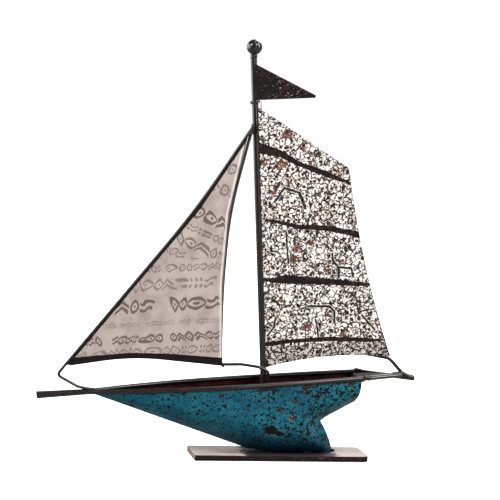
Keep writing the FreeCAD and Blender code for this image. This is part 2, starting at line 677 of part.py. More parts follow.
def build_jib():
    """The jib's sheet and the rods that it is welded to."""
    place = boat.multiply(jib_plane)
    head, knee, hook = jib_luff()
    knee_bend = fitting_bend(head, knee, on_line(knee, hook, size("tack_height")),
                             WIRE_BEND_SHARE)
    # The hook comes down into the groove between the two rails of the bowsprit.
    groove = math.sqrt((RAIL + WIRE) ** 2 - (RAIL + FIT / 2) ** 2) + FIT
    toe = Vector(size("jib_hook_toe"), 0, groove + 2 * WIRE)
    end = Vector(size("bow_x") - WIRE, 0, groove + FIT)
    bends = [knee_bend, size("jib_hook_bend"), 2 * size("jib_hook_bend")]
    bent_rod("jib_luff_rod", [head, knee, hook, toe, end], bends, "wire_diameter", place)

    tack = on_line(knee, hook, size("tack_height"))
    crown = Vector(size("foot_crown_x"), 0, size("foot_crown_height"))
    clew = Vector(size("clew_x"), 0, size("clew_height"))
    crown_bend = fitting_bend(tack, crown, clew, WIRE_BEND_SHARE)
    upper = Vector(size("leech_upper_x"), 0, size("leech_upper_height"))
    lower = Vector(size("leech_lower_x"), 0, size("leech_lower_height"))

    # The boom starts against the luff rod's side and ends beside the mast.
    slant = (tack - knee).getAngle(tack - crown)
    butt = (WIRE + WIRE * math.cos(slant) + FIT) / math.sin(slant)
    start = tack + (crown - tack).normalize() * butt
    front = -MAST - WIRE - FIT
    beside = size("mast_x") + MAST + FIT
    height = size("clew_height")
    route = [
        start,
        crown,
        clew,
        Vector(size("boom_turn_x"), front * BOOM_TURN_SHARE, height - size("boom_turn_drop")),
        Vector(size("boom_front_x"), front, height - size("boom_front_drop")),
        Vector(beside + WIRE / 2, front, height - size("boom_knee_drop")),
        Vector(beside + WIRE / 2, front * BOOM_TOE_SHARE, -size("boom_toe")),
    ]
    boom_bend = size("boom_bend")
    boom_bends = [crown_bend, 4 * boom_bend, 2 * boom_bend, boom_bend, boom_bend / 2]
    bent_rod("jib_boom", route, boom_bends, "wire_diameter", place)

    # The leech rod stands on the boom and ends beside the luff rod.
    top = on_line(head, knee, size("jib_peak") - size("leech_gap"))
    top = Vector(top.x + size("leech_gap"), 0, top.z)
    base_x = clew.x - WIRE
    slope = math.atan(abs(clew.z - crown.z) / (clew.x - crown.x))
    base_z = foot_line(base_x).z + (WIRE + FIT) / math.cos(slope) + WIRE * math.tan(slope)
    base = Vector(base_x, 0, base_z)
    leech = [top, upper, lower, base]
    leech_bends = [fitting_bend(top, upper, lower, WIRE_BEND_SHARE),
                   fitting_bend(upper, lower, base, WIRE_BEND_SHARE)]
    bent_rod("jib_leech_rod", leech, leech_bends, "wire_diameter", place)

    peak = on_line(head, knee, size("jib_peak"))
    inner_upper = upper - Vector(WIRE / 2, 0, 0)
    corners = [peak, knee, tack, crown, clew, lower, inner_upper, peak]
    sheet_bends = [knee_bend, SHARP_CORNER, crown_bend, SHARP_CORNER,
                   fitting_bend(clew, lower, inner_upper, WIRE_BEND_SHARE),
                   fitting_bend(lower, inner_upper, peak, WIRE_BEND_SHARE)]
    outline = doc.addObject("Part::Feature", "jib_sheet_outline")
    outline.Shape = Part.Wire(rounded_edges(corners, sheet_bends))
    sail = doc.addObject("Part::Extrusion", "jib_sheet")
    sail.Base = outline
    sail.DirMode = "Custom"
    sail.Dir = Vector(0, -1, 0)
    sail.Solid = True
    sail.setExpression("LengthFwd", "sizes.sail_thickness")
    aside = Placement(Vector(0, -WIRE - FIT / 2, 0), Rotation())
    keep(sail, "jib_sheet", place.multiply(aside))


# The mainsail

def build_mainsail():
    """The mainsail's sheet, the wire up its luff and the strut under its clew."""
    set_aft = size("luff_wire_set")
    aside = math.sqrt((MAST + LUFF_WIRE + FIT / 2) ** 2 - set_aft ** 2)
    half_sheet = size("sail_thickness") / 2
    luff = "sizes.mast_x + sizes.luff_wire_set + sizes.luff_wire_diameter / 2 + sizes.fit / 2"
    corners = [
        (luff, "sizes.main_tack_height"),
        ("sizes.main_clew_x", "sizes.main_clew_height"),
        ("sizes.peak_cut_x", "sizes.peak_cut_height"),
        ("sizes.peak_x", "sizes.peak_height"),
        (luff, "sizes.main_head_height"),
    ]
    crowns = {
        0: ("sizes.foot_mid_x", "sizes.foot_mid_height"),
        1: ("sizes.leech_mid_x", "sizes.leech_mid_height"),
    }
    plane = Placement(Vector(0, half_sheet - aside, 0), Rotation())
    body = sheet_body("mainsail_sheet", corners, crowns, "sail_thickness", boat.multiply(plane))
    keep(body, "mainsail_sheet", body.Placement)

    wire = doc.addObject("Part::Cylinder", "mainsail_luff_wire")
    wire.setExpression("Radius", "sizes.luff_wire_diameter / 2")
    wire.setExpression("Height", "sizes.main_head_height - sizes.main_tack_height"
                       " + sizes.luff_wire_over")
    stand = Placement(Vector(size("mast_x") + set_aft, -aside, size("main_tack_height")),
                      Rotation())
    keep(wire, "mainsail_luff_wire", boat.multiply(stand))

    # The loop hangs from the tie's aft side and ends on the sheet's port face.
    loop_y = half_sheet - aside + LOOP + FIT / 2
    loop_x = size("mast_x") + math.sqrt((MAST + 2 * TIE + LOOP + FIT) ** 2 - loop_y ** 2)
    low = TIE_HEIGHT - size("loop_length")
    loop = [Vector(loop_x, loop_y, TIE_HEIGHT + TIE / 2), Vector(loop_x, loop_y, low),
            Vector(loop_x + size("loop_toe"), loop_y, low - size("loop_toe"))]
    bent_rod("head_loop", loop, [size("loop_bend")], "loop_diameter", boat)

    behind = half_sheet - aside + STRUT + FIT / 2
    fore = Vector(size("strut_fore_x"), behind, size("strut_fore_height"))
    middle = Vector(size("strut_mid_x"), behind, size("strut_mid_height"))
    clew = Vector(size("strut_clew_x"), behind, size("strut_clew_height"))
    # The strut lands on the upper side of the port rail near its tip.
    landing = STRUT_LANDING_SHARE
    rail_y = size("stern_half") - landing * (size("stern_half") + size("tail_side"))
    toe = Vector(size("stern_x") + landing * size("tail_length"),
                 rail_y - size("strut_seat_side"),
                 size("strut_seat_height") - landing * size("tail_drop"))
    bent_rod("mainsail_strut", [fore, middle, clew, toe],
             [size("strut_mid_bend"), size("strut_bend")], "strut_diameter", boat)


build_foot()
build_rails()
build_hull()
build_mast()
build_pennant()
build_jib()
build_mainsail()
doc.recompute()

for item in doc.Objects:
    if "Invalid" in item.State or "Error" in item.State:
        raise RuntimeError("%s did not compute: %s" % (item.Label, item.State))
for piece in sub_parts:
    if piece.Shape.isNull() or not piece.Shape.isValid():
        raise RuntimeError("%s has no sound shape" % piece.Label)

os.makedirs("parts", exist_ok=True)
for piece in sub_parts:
    piece.Shape.exportStep("parts/%s.step" % piece.Label)
    box = piece.Shape.BoundBox
    print("%-20s solids %d volume %9.1f  x %7.1f..%7.1f  y %6.1f..%6.1f  z %6.1f..%6.1f" % (
        piece.Label, len(piece.Shape.Solids), piece.Shape.Volume,
        box.XMin, box.XMax, box.YMin, box.YMax, box.ZMin, box.ZMax))
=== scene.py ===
"""A table ornament: a two-sailed boat of painted sheet steel and welded rod.

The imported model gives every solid. This script dresses it: finishes, weld beads, the wire
wrapped round the mast, the rounded edges of the foot, the floor, the light and the camera.
"""

import logging
import math
from contextlib import contextmanager
from dataclasses import dataclass, field
from enum import Enum
from functools import reduce
from typing import Any, Callable, Iterable, Iterator, Mapping, Sequence

import bmesh
import bpy
from mathutils import Matrix, Vector, noise


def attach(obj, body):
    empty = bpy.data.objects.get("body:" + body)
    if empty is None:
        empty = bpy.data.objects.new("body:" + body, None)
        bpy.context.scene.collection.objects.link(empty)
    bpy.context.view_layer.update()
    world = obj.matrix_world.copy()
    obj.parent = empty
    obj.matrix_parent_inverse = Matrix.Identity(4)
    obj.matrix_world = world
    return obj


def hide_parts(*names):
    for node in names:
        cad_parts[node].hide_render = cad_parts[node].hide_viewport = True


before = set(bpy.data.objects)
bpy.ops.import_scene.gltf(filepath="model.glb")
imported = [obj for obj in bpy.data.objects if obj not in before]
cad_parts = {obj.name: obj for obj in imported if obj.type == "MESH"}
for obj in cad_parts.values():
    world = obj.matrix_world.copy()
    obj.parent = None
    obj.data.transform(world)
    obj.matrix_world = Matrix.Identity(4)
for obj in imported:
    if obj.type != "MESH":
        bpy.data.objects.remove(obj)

log = logging.getLogger("sheet_steel_boat")

MM = 0.001
BODY = "root"
MAST_X = -18.2
MAST_RADIUS = 3.175
FOOT_TOP = 6.0
JOINED = 1e-6
UNBOUNDED = 1e6
WHITE = (1.0, 1.0, 1.0, 1.0)

Shade = tuple[float, float, float, float]
Spot = tuple[float, float]


def seen(red: int, green: int, blue: int) -> Shade:
    """A colour given as the eye sees it, ready for a shader.

    Args:
        red: red level, 0 to 255.
        green: green level, 0 to 255.
        blue: blue level, 0 to 255.

    Returns:
        The linear colour with full alpha.
    """
    def straight(level: int) -> float:
        """One level without the screen's curve."""
        share = level / 255
        return share / 12.92 if share <= 0.04045 else ((share + 0.055) / 1.055) ** 2.4

    return straight(red), straight(green), straight(blue), 1.0


@dataclass(frozen=True)
class BoatFrame:
    """The boat's own directions, tipped bow down over the foot, in millimetres."""

    pitch_deg: float = 4.4
    deck_height: float = 79.0
    jib_tilt_deg: float = 0.95

    @property
    def slope(self) -> tuple[float, float]:
        """Cosine and sine of the pitch."""
        pitch = math.radians(self.pitch_deg)
        return math.cos(pitch), math.sin(pitch)

    def place(self, x: float, y: float, z: float) -> Vector:
        """A boat point, given in millimetres, as a point of the part's frame in metres."""
        level, rise = self.slope
        return Vector((x * level - z * rise, y, self.deck_height + x * rise + z * level)) * MM

    def jib(self, x: float, y: float, z: float) -> Vector:
        """A point of the jib's leaning plane as a point of the part's frame in metres."""
        tilt = math.radians(self.jib_tilt_deg)
        return self.place(x, y * math.cos(tilt) - z * math.sin(tilt),
                          y * math.sin(tilt) + z * math.cos(tilt))


BOAT = BoatFrame()


# Trees of nodes, written as expressions

class Reading:
    """One socket of a tree. Arithmetic on it adds Math nodes."""

    def __init__(self, tree: "NodeSheet", socket: bpy.types.NodeSocket) -> None:
        """Args: tree, the sheet that holds the socket; socket, the output read."""
        self.tree = tree
        self.socket = socket

    def __add__(self, other: Any) -> "Reading":
        """Sum."""
        return self.tree.maths("ADD", self, other)

    def __radd__(self, other: Any) -> "Reading":
        """Sum, from the right."""
        return self.tree.maths("ADD", other, self)

    def __sub__(self, other: Any) -> "Reading":
        """Difference."""
        return self.tree.maths("SUBTRACT", self, other)

    def __rsub__(self, other: Any) -> "Reading":
        """Difference, from the right."""
        return self.tree.maths("SUBTRACT", other, self)

    def __mul__(self, other: Any) -> "Reading":
        """Product."""
        return self.tree.maths("MULTIPLY", self, other)

    def __rmul__(self, other: Any) -> "Reading":
        """Product, from the right."""
        return self.tree.maths("MULTIPLY", other, self)

    def __truediv__(self, other: Any) -> "Reading":
        """Quotient."""
        return self.tree.maths("DIVIDE", self, other)

    def __rtruediv__(self, other: Any) -> "Reading":
        """Quotient, from the right."""
        return self.tree.maths("DIVIDE", other, self)

    def __neg__(self) -> "Reading":
        """The same with its sign changed."""
        return self.tree.maths("MULTIPLY", self, -1.0)

    def __abs__(self) -> "Reading":
        """The size without the sign."""
        return self.tree.maths("ABSOLUTE", self)

    def above(self, limit: Any) -> "Reading":
        """One where this is above the limit, else nought."""
        return self.tree.maths("GREATER_THAN", self, limit)

    def below(self, limit: Any) -> "Reading":
        """One where this is below the limit, else nought."""
        return self.tree.maths("LESS_THAN", self, limit)

    def least(self, other: Any) -> "Reading":
        """The smaller of the two."""
        return self.tree.maths("MINIMUM", self, other)

    def most(self, other: Any) -> "Reading":
        """The larger of the two."""
        return self.tree.maths("MAXIMUM", self, other)

    def fade(self, start: float, end: float) -> "Reading":
        """A smooth step.

        Args:
            start: where it is still nought.
            end: where it has become one.

        Returns:
            The step.
        """
        made = self.tree.node("ShaderNodeMapRange", {"interpolation_type": "SMOOTHSTEP"},
                              {0: self, 1: start, 2: end, 3: 0.0, 4: 1.0})
        return Reading(self.tree, made.outputs[0])


def united(readings: Iterable[Reading]) -> Reading:
    """The greatest of several readings."""
    return reduce(Reading.most, readings)


class NodeSheet:
    """A tree of nodes under construction."""

    def __init__(self, tree: bpy.types.NodeTree) -> None:
        """Args: tree, the empty tree to fill."""
        self.tree = tree

    def node(self, kind: str, settings: Mapping[str, Any] | None = None,
             sockets: Mapping[Any, Any] | None = None) -> bpy.types.Node:
        """Add one node.

        Args:
            kind: the node's type.
            settings: its settings; "points" fills a curve.
            sockets: values or links of its inputs, by name or number.

        Returns:
            The new node.
        """
        made = self.tree.nodes.new(kind)
        for name, value in (settings or {}).items():
            if name == "points":
                self._fill_curve(made, value)
            else:
                setattr(made, name, value)
        for name, value in (sockets or {}).items():
            self.feed(made.inputs[name], value)
        return made

    @staticmethod
    def _fill_curve(made: bpy.types.Node, points: Sequence[Spot]) -> None:
        """Set the points of a curve that is straight between them.

        Args:
            made: the node that holds the curve.
            points: each point's place across and up, from nought to one.
        """
        curve = made.mapping.curves[0]
        while len(curve.points) < len(points):
            curve.points.new(0.5, 0.5)
        for number, (across, up) in enumerate(points):
            curve.points[number].location = (across, up)
            curve.points[number].handle_type = "VECTOR"
        made.mapping.update()

    def feed(self, socket: bpy.types.NodeSocket, value: Any) -> None:
        """Link a reading to a socket, or set the socket's value.

        Args:
            socket: the input to feed.
            value: a reading, a socket of another node, or a plain value.
        """
        if isinstance(value, Reading):
            self.tree.links.new(value.socket, socket)
        elif isinstance(value, bpy.types.NodeSocket):
            self.tree.links.new(value, socket)
        else:
            socket.default_value = value

    def maths(self, operation: str, *values: Any) -> Reading:
        """One Math node."""
        made = self.node("ShaderNodeMath", {"operation": operation},
                         dict(enumerate(values)))
        return Reading(self, made.outputs[0])


class FinishSheet(NodeSheet):
    """The tree of one finish, read in the boat's millimetres."""

    def __init__(self, name: str) -> None:
        """Start the material and its three readings of the boat's own place.

        Args:
            name: the finish's name.
        """
        self.material = bpy.data.materials.new(name)
        self.material.use_nodes = True
        self.made: dict[tuple[Any, ...], Reading] = {}
        super().__init__(self.material.node_tree)
        self.tree.nodes.clear()
        level, rise = BOAT.slope
        coordinates = self.node("ShaderNodeTexCoord")
        self.object_place = Reading(self, coordinates.outputs["Object"])
        self.x = self.dot(self.object_place, (level / MM, 0, rise / MM)) - (
            BOAT.deck_height * rise)
        self.y = self.dot(self.object_place, (0, 1 / MM, 0))
        self.z = self.dot(self.object_place, (-rise / MM, 0, level / MM)) - (
            BOAT.deck_height * level)
        self.place = self.vector(self.x, self.y, self.z)
        self.normal = Reading(self, self.node("ShaderNodeNewGeometry").outputs["Normal"])

    def dot(self, first: Any, second: Any) -> Reading:
        """Dot product of two vectors."""
        made = self.node("ShaderNodeVectorMath", {"operation": "DOT_PRODUCT"},
                         {0: first, 1: second})
        return Reading(self, made.outputs["Value"])

    def vector(self, x: Any, y: Any, z: Any) -> Reading:
        """A vector of three readings."""
        made = self.node("ShaderNodeCombineXYZ", None, {0: x, 1: y, 2: z})
        return Reading(self, made.outputs[0])

    def once(self, key: tuple[Any, ...], make: Callable[[], Reading]) -> Reading:
        """A reading made at its first use and shared after that.

        Args:
            key: what tells this reading from the others.
            make: makes the reading.

        Returns:
            The shared reading.
        """
        if key not in self.made:
            self.made[key] = make()
        return self.made[key]

    def part_of(self, vector: Reading, axis: int) -> Reading:
        """One component of a vector or channel of a colour."""
        return self.once(("part", vector, axis), lambda: Reading(self, self.node(
            "ShaderNodeSeparateXYZ", None, {0: vector}).outputs[axis]))

    def shifted(self, vector: Reading, other: Any, operation: str = "ADD") -> Reading:
        """A vector with another added, multiplied or the like."""
        made = self.node("ShaderNodeVectorMath", {"operation": operation},
                         {0: vector, 1: other})
        return Reading(self, made.outputs[0])

    def cloud(self, size: float, detail: float = 2.0, rough: float = 0.5,
              place: Reading | None = None, bend: float = 0.0) -> Reading:
        """Smooth noise, from nought to one.

        Args:
            size: the size of its lumps.
            detail: how many finer layers it has.
            rough: how strong those are.
            place: where it is read, or the boat's own place.
            bend: how far its lumps are pulled about.

        Returns:
            The noise.
        """
        start = place or self.place
        return self.once(("cloud", start, size, detail, rough, bend), lambda: Reading(
            self, self.node("ShaderNodeTexNoise", None, {
                "Vector": start, "Scale": 1 / size, "Detail": detail, "Roughness": rough,
                "Distortion": bend}).outputs[0]))

    def wandered(self, size: float, reach: float, place: Reading | None = None) -> Reading:
        """The place, pushed about by noise.

        Args:
            size: the size of the noise's lumps.
            reach: how far it pushes.
            place: the place to push, or the boat's own place.

        Returns:
            The pushed place.
        """
        start = place or self.place

        def push() -> Reading:
            """The place with the noise added.

            Returns:
                The pushed place.
            """
            made = self.node("ShaderNodeTexNoise", None,
                             {"Vector": start, "Scale": 1 / size, "Detail": 1.0})
            middle = self.shifted(Reading(self, made.outputs["Color"]), (0.5,) * 3, "SUBTRACT")
            return self.shifted(start, self.shifted(middle, (reach * 2,) * 3, "MULTIPLY"))

        return self.once(("wandered", start, size, reach), push)

    def framed(self, place: Reading, origin: Spot, turn: float, half: Spot) -> Reading:
        """The place in side view, in a frame of its own.

        Args:
            place: where it is read.
            origin: the frame's origin in the boat's x and z.
            turn: the frame's tilt in degrees.
            half: the length of the frame's two units.

        Returns:
            The place in those units, with nothing across the view.
        """
        made = self.node("ShaderNodeMapping", {"vector_type": "TEXTURE"}, {
            "Vector": place, "Location": (origin[0], 0.0, origin[1]),
            "Rotation": (0.0, -math.radians(turn), 0.0), "Scale": (half[0], 1e6, half[1])})
        return Reading(self, made.outputs[0])

    def length(self, first: Reading, second: Any = (0.0, 0.0, 0.0)) -> Reading:
        """The distance between two places."""
        made = self.node("ShaderNodeVectorMath", {"operation": "DISTANCE"},
                         {0: first, 1: second})
        return Reading(self, made.outputs["Value"])

    def cells(self, size: float, place: Reading, edge: bool = False) -> tuple[Reading, Reading]:
        """Scattered cells.

        Args:
            size: their width.
            place: where they are read.
            edge: measure from the cells' borders instead of their middles.

        Returns:
            The distance in shares of a cell, and each cell's own random number.
        """
        feature = "DISTANCE_TO_EDGE" if edge else "F1"
        made = self.node("ShaderNodeTexVoronoi", {"feature": feature},
                         {"Vector": place, "Scale": 1 / size})
        own = made.outputs["Distance"] if edge else made.outputs["Color"]
        return Reading(self, made.outputs["Distance"]), self.part_of(Reading(self, own), 0)

    def speckles(self, size: float, share: float, width: float, seed: float = 0.0,
                 ragged: float = 0.35, crowd: Reading | None = None) -> Reading:
        """Ragged specks scattered over the surface.

        Args:
            size: distance between neighbours.
            share: the share of the places that hold a speck.
            width: the largest radius, in shares of the distance.
            seed: shifts the pattern.
            ragged: how far the outline wanders, in shares of the distance.
            crowd: optional reading that makes specks larger or smaller.

        Returns:
            One on a speck, nought elsewhere.
        """
        start = self.shifted(self.place, (seed * 37.0, seed * 11.0, seed * 23.0))
        distance, own = self.cells(size, self.wandered(size * 0.7, size * ragged, start))
        radius = (own - (1 - share)) * (width / share)
        if crowd is not None:
            radius = radius * crowd
        edge = (radius - distance) * (size / 0.35)
        return edge.fade(-0.35, 0.35) * radius.above(0.0)

    def blot(self, middle: Spot, half: Spot, turn: float, ragged: float = 0.35,
             size: float = 3.0) -> Reading:
        """One ragged patch in side view.

        Args:
            middle: its middle in the boat's x and z.
            half: half its length and half its height.
            turn: its tilt in degrees.
            ragged: how uneven its edge is.
            size: the size of that unevenness.

        Returns:
            One inside, nought outside.
        """
        reach = self.length(self.framed(self.place, middle, turn, half))
        uneven = self.once(("uneven", size, ragged),
                           lambda: (self.cloud(size, 3.0) - 0.5) * (ragged * 4))
        return (reach + uneven).fade(1.08, 0.92)

    def stroke(self, path: Sequence[Spot], width: float, waver: float = 0.6) -> Reading:
        """A wavering line drawn through points in side view.

        Args:
            path: its points in the boat's x and z.
            width: its width.
            waver: how far it wanders to either side.

        Returns:
            One on the line, nought elsewhere.
        """
        away: Reading | None = None
        for (ax, az), (bx, bz) in zip(path, path[1:]):
            turn = math.degrees(math.atan2(bz - az, bx - ax))
            spot = self.framed(self.wandered(5.0, waver), (ax, az), turn, (1.0, 1.0))
            ahead = self.shifted(spot, (0.0, 0.0, 0.0), "MAXIMUM")
            nearest = self.shifted(ahead, (math.hypot(bx - ax, bz - az), 0.0, 0.0), "MINIMUM")
            piece = self.length(spot, nearest)
            away = piece if away is None else away.least(piece)
        return away.fade(width / 2 + 0.2, width / 2 - 0.2)

    def profile(self, value: Reading, points: Sequence[Spot]) -> Reading:
        """A number that follows points, straight between them.

        Args:
            value: the reading that goes along.
            points: pairs of the value and the number there.

        Returns:
            The number.
        """
        low_x, high_x = points[0][0], points[-1][0]
        low_z = min(height for _, height in points)
        high_z = max(height for _, height in points) + 1e-3
        share = (value - low_x) / (high_x - low_x)
        unit = [((x - low_x) / (high_x - low_x), (z - low_z) / (high_z - low_z))
                for x, z in points]
        made = self.node("ShaderNodeFloatCurve", {"points": unit}, {0: 1.0, 1: share})
        return Reading(self, made.outputs[0]) * (high_z - low_z) + low_z

    def blend(self, factor: Any, first: Any, second: Any) -> Reading:
        """Two colours blended by a factor."""
        made = self.node("ShaderNodeMix", {"data_type": "RGBA"},
                         {0: factor, 6: first, 7: second})
        return Reading(self, made.outputs[2])

    def finish(self, colour: Reading, rough: Any, metallic: Any = 0.0, coat: Any = 0.0,
               relief: Reading | None = None, depth: float = 0.1,
               level: float = 0.5, coat_rough: float = 0.1) -> bpy.types.Material:
        """Close the tree with its shader.

        Args:
            colour: base colour.
            rough: roughness.
            metallic: share of bare metal.
            coat: share of clear lacquer.
            relief: height of the surface, in shares of the depth.
            depth: the relief's full height in millimetres.
            level: strength of the plain highlight.
            coat_rough: roughness of the lacquer.

        Returns:
            The finished material.
        """
        shader = self.node("ShaderNodeBsdfPrincipled", None,
                           {"Base Color": colour, "Roughness": rough, "Metallic": metallic,
                            "Coat Weight": coat, "Specular IOR Level": level,
                            "Coat Roughness": coat_rough})
        if relief is not None:
            bump = self.node("ShaderNodeBump", None,
                             {"Strength": 1.0, "Distance": depth * MM, "Height": relief})
            self.feed(shader.inputs["Normal"], bump.outputs[0])
        self.node("ShaderNodeOutputMaterial", None, {0: shader.outputs[0]})
        return self.material


# Finishes

@dataclass(frozen=True)
class LacqueredSteel:
    """Heat-browned rod under clear lacquer, with scale and a little rust."""

    name: str = "lacquered_steel"
    dark: Shade = seen(20, 15, 13)
    worn: Shade = seen(58, 47, 41)
    rust: Shade = seen(84, 48, 32)
    scale_size: float = 4.0
    rub: float = 0.4
    lacquer: float = 0.65

    def make(self) -> bpy.types.Material:
        """Mix the finish.

        Returns:
            The rods' material.
        """
        sheet = FinishSheet(self.name)
        scale = sheet.cloud(self.scale_size, 5.0, 0.65)
        colour = sheet.blend(scale.fade(0.5, 0.75) * self.rub, self.dark, self.worn)
        rusty = sheet.cloud(9.0, 3.0, 0.6).fade(0.6, 0.72) * sheet.cloud(1.2, 2.0).fade(0.4, 0.6)
        colour = sheet.blend(rusty * 0.55, colour, self.rust)
        pits = sheet.speckles(1.6, 0.4, 0.45, 3.0)
        rough = 0.3 + scale * 0.22
        relief = scale * 0.8 - pits * 0.5
        return sheet.finish(colour, rough, 0.0, self.lacquer, relief, 0.035, 0.1, 0.13)


@dataclass(frozen=True)
class PennantPaint:
    """Near-black brown sheet with fine pale specks and some rust."""

    name: str = "pennant_paint"
    dark: Shade = seen(10, 6, 6)
    brown: Shade = seen(36, 19, 16)
    speck: Shade = seen(168, 146, 134)

    def make(self) -> bpy.types.Material:
        """Mix the finish.

        Returns:
            The pennant's material.
        """
        sheet = FinishSheet(self.name)
        colour = sheet.blend(sheet.cloud(7.0, 4.0, 0.6).fade(0.48, 0.72), self.dark, self.brown)
        aft = 0.7 + sheet.x.fade(-16.0, 10.0) * 0.5
        specks = sheet.speckles(2.6, 0.6, 0.34, 1.0, 0.5, aft)
        fine = sheet.speckles(1.5, 0.5, 0.36, 2.0, 0.5, aft)
        colour = sheet.blend(specks * sheet.cloud(1.1, 2.0).fade(0.35, 0.6) * 0.6, colour,
                             self.speck)
        colour = sheet.blend(fine * 0.3, colour, self.speck)
        relief = sheet.cloud(1.4, 3.0) + specks * 0.4
        return sheet.finish(colour, 0.5, 0.0, 0.0, relief, 0.08, 0.12)


@dataclass(frozen=True)
class BrightWire:
    """Thin bare wire."""

    name: str = "bright_wire"
    light: Shade = seen(186, 182, 176)
    dull: Shade = seen(120, 114, 108)

    def make(self) -> bpy.types.Material:
        """Mix the finish.

        Returns:
            The head loop's material.
        """
        sheet = FinishSheet(self.name)
        colour = sheet.blend(sheet.cloud(1.5, 3.0), self.dull, self.light)
        return sheet.finish(colour, 0.3, 0.6, 0.0, sheet.cloud(0.6, 2.0), 0.02)


@dataclass(frozen=True)
class HullPaint:
    """Teal paint outside, chipped and speckled, over brown lacquered steel inside."""

    name: str = "hull_paint"
    teal: Shade = seen(8, 70, 88)
    light_teal: Shade = seen(34, 118, 130)
    deep_teal: Shade = seen(2, 34, 54)
    blue: Shade = seen(24, 82, 124)
    speck: Shade = seen(2, 3, 8)
    bare: Shade = seen(14, 9, 8)
    rust: Shade = seen(122, 80, 58)
    chip: Shade = seen(100, 160, 164)
    inner: Shade = seen(44, 18, 15)
    inner_light: Shade = seen(78, 38, 30)
    pale_spot: Shade = seen(190, 205, 205)
    notch: Spot = (37.9, -43.3)
    heel: Spot = (50.1, -76.9)
    keel_bulge: float = 1.8
    counter_deg: float = 24.6
    spots: tuple[tuple[Spot, Spot], ...] = (
        ((4.5, -34.3), (3.6, 2.3)), ((17.6, -34.5), (2.0, 2.8)), ((21.0, -4.6), (5.0, 2.8)),
        ((66.5, -5.0), (3.4, 2.4)), ((15.5, -9.5), (2.0, 2.4)), ((74.5, -17.5), (3.0, 1.8)),
        ((27.0, -14.0), (2.8, 2.0)), ((-6.0, -25.0), (4.0, 2.0)), ((30.5, -37.5), (2.4, 1.8)),
        ((7.0, -18.0), (2.2, 1.6)), ((44.0, -34.0), (3.2, 1.8)), ((-24.0, -13.0), (2.4, 1.8)),
        ((-66.0, -8.0), (2.6, 1.6)),
    )

    def keel_aft(self, share: float) -> Spot:
        """A point of the keel's bulging aft edge.

        Args:
            share: how far up it is, from the heel at nought to the notch at one.

        Returns:
            The point in the boat's x and z.
        """
        run_x, run_z = self.notch[0] - self.heel[0], self.notch[1] - self.heel[1]
        out = 4 * share * (1 - share) * self.keel_bulge / math.hypot(run_x, run_z)
        return (self.heel[0] + run_x * share + run_z * out,
                self.heel[1] + run_z * share - run_x * out)

    def _edge(self, sheet: FinishSheet) -> Reading:
        """Where the paint is worn off along the lower aft edges, with a dark strip where the hull
        stands on the foot.

        Args:
            sheet: the tree.

        Returns:
            One on the worn edges and on the strip by the foot, nought elsewhere.
        """
        cos = math.cos(math.radians(self.counter_deg))
        sin = math.sin(math.radians(self.counter_deg))
        over = (sheet.z - self.notch[1]) * cos - (sheet.x - self.notch[0]) * sin
        uneven = sheet.cloud(3.0, 3.0)
        counter = (over - uneven * 3.4).fade(0.1, -0.9) * sheet.z.fade(-44.5, -42.5)
        counter = counter * sheet.x.fade(37.0, 39.0)
        aft = [self.keel_aft(step / 6) for step in range(7)]
        line = [(-80.0, 50.6)] + [(z, x) for x, z in aft] + [(-42.6, 200.0), (0.0, 200.0)]
        behind = (sheet.profile(sheet.z, line) - sheet.x - uneven * 0.7).fade(0.35, 0.0)
        level, rise = BOAT.slope
        foot = sheet.z + (sheet.x * rise + (BOAT.deck_height - FOOT_TOP)) / level
        # The last term darkens a strip a few millimetres high along the foot.
        return counter.most(behind).most((foot - uneven * 3.0).fade(0.6, -0.8))

    def _outside(self, sheet: FinishSheet) -> tuple[Reading, Reading, Reading]:
        """The outer face.

        Args:
            sheet: the tree.

        Returns:
            The paint's colour, its height and how bare it is.
        """
        broad = sheet.cloud(26.0, 4.0, 0.55)
        fine = sheet.cloud(2.0, 4.0, 0.7)
        colour = sheet.blend(broad.fade(0.35, 0.7) * 0.5, self.teal, self.light_teal)
        # Painted light: the side is painted lighter towards the stern, as if lit from aft.
        colour = sheet.blend(sheet.x.fade(-10.0, 80.0) * 0.45, colour, self.light_teal)
        colour = sheet.blend(fine.fade(0.52, 0.7) * 0.45, colour, self.light_teal)
        colour = sheet.blend(fine.fade(0.46, 0.3) * 0.5, colour, self.deep_teal)
        tint = sheet.cloud(5.0, 2.0).fade(0.5, 0.65) * sheet.x.fade(0.0, 60.0)
        colour = sheet.blend(tint * 0.45, colour, self.blue)
        # Painted shade: the side darkens towards the keel, where it turns under away from the
        # light.
        low = (sheet.z - broad * 18.0).fade(-44.0, -82.0)
        colour = sheet.blend(low * 0.9, colour, self.deep_teal)

        crowd = 0.7 + sheet.cloud(16.0, 2.0) * 0.6 + sheet.x.fade(-70.0, 60.0) * 0.4
        crowd = crowd - sheet.z.fade(-50.0, -74.0) * 0.35
        small = sheet.speckles(2.7, 1.0, 0.52, 1.0, 0.42, crowd)
        large = sheet.speckles(5.0, 0.6, 0.42, 4.0, 0.42, crowd)
        dust = sheet.speckles(1.9, 0.75, 0.48, 7.0, 0.4, crowd)
        rim = sheet.speckles(2.7, 1.0, 0.6, 1.0, 0.42, crowd) - small
        colour = sheet.blend(rim.most(0.0) * 0.3, colour, self.chip)
        colour = sheet.blend(dust * 0.8, colour, self.speck)
        colour = sheet.blend(small * 0.95, colour, self.speck)
        colour = sheet.blend(large * 0.92, colour, self.bare)

        clusters = sheet.cloud(9.0, 4.0, 0.65, bend=0.6)
        worn = clusters.fade(0.57, 0.62) * sheet.x.fade(-30.0, 40.0) * sheet.cloud(2.0).fade(
            0.42, 0.52) * sheet.z.fade(-50.0, -30.0)
        colour = sheet.blend(worn * 0.9, colour, self.bare)

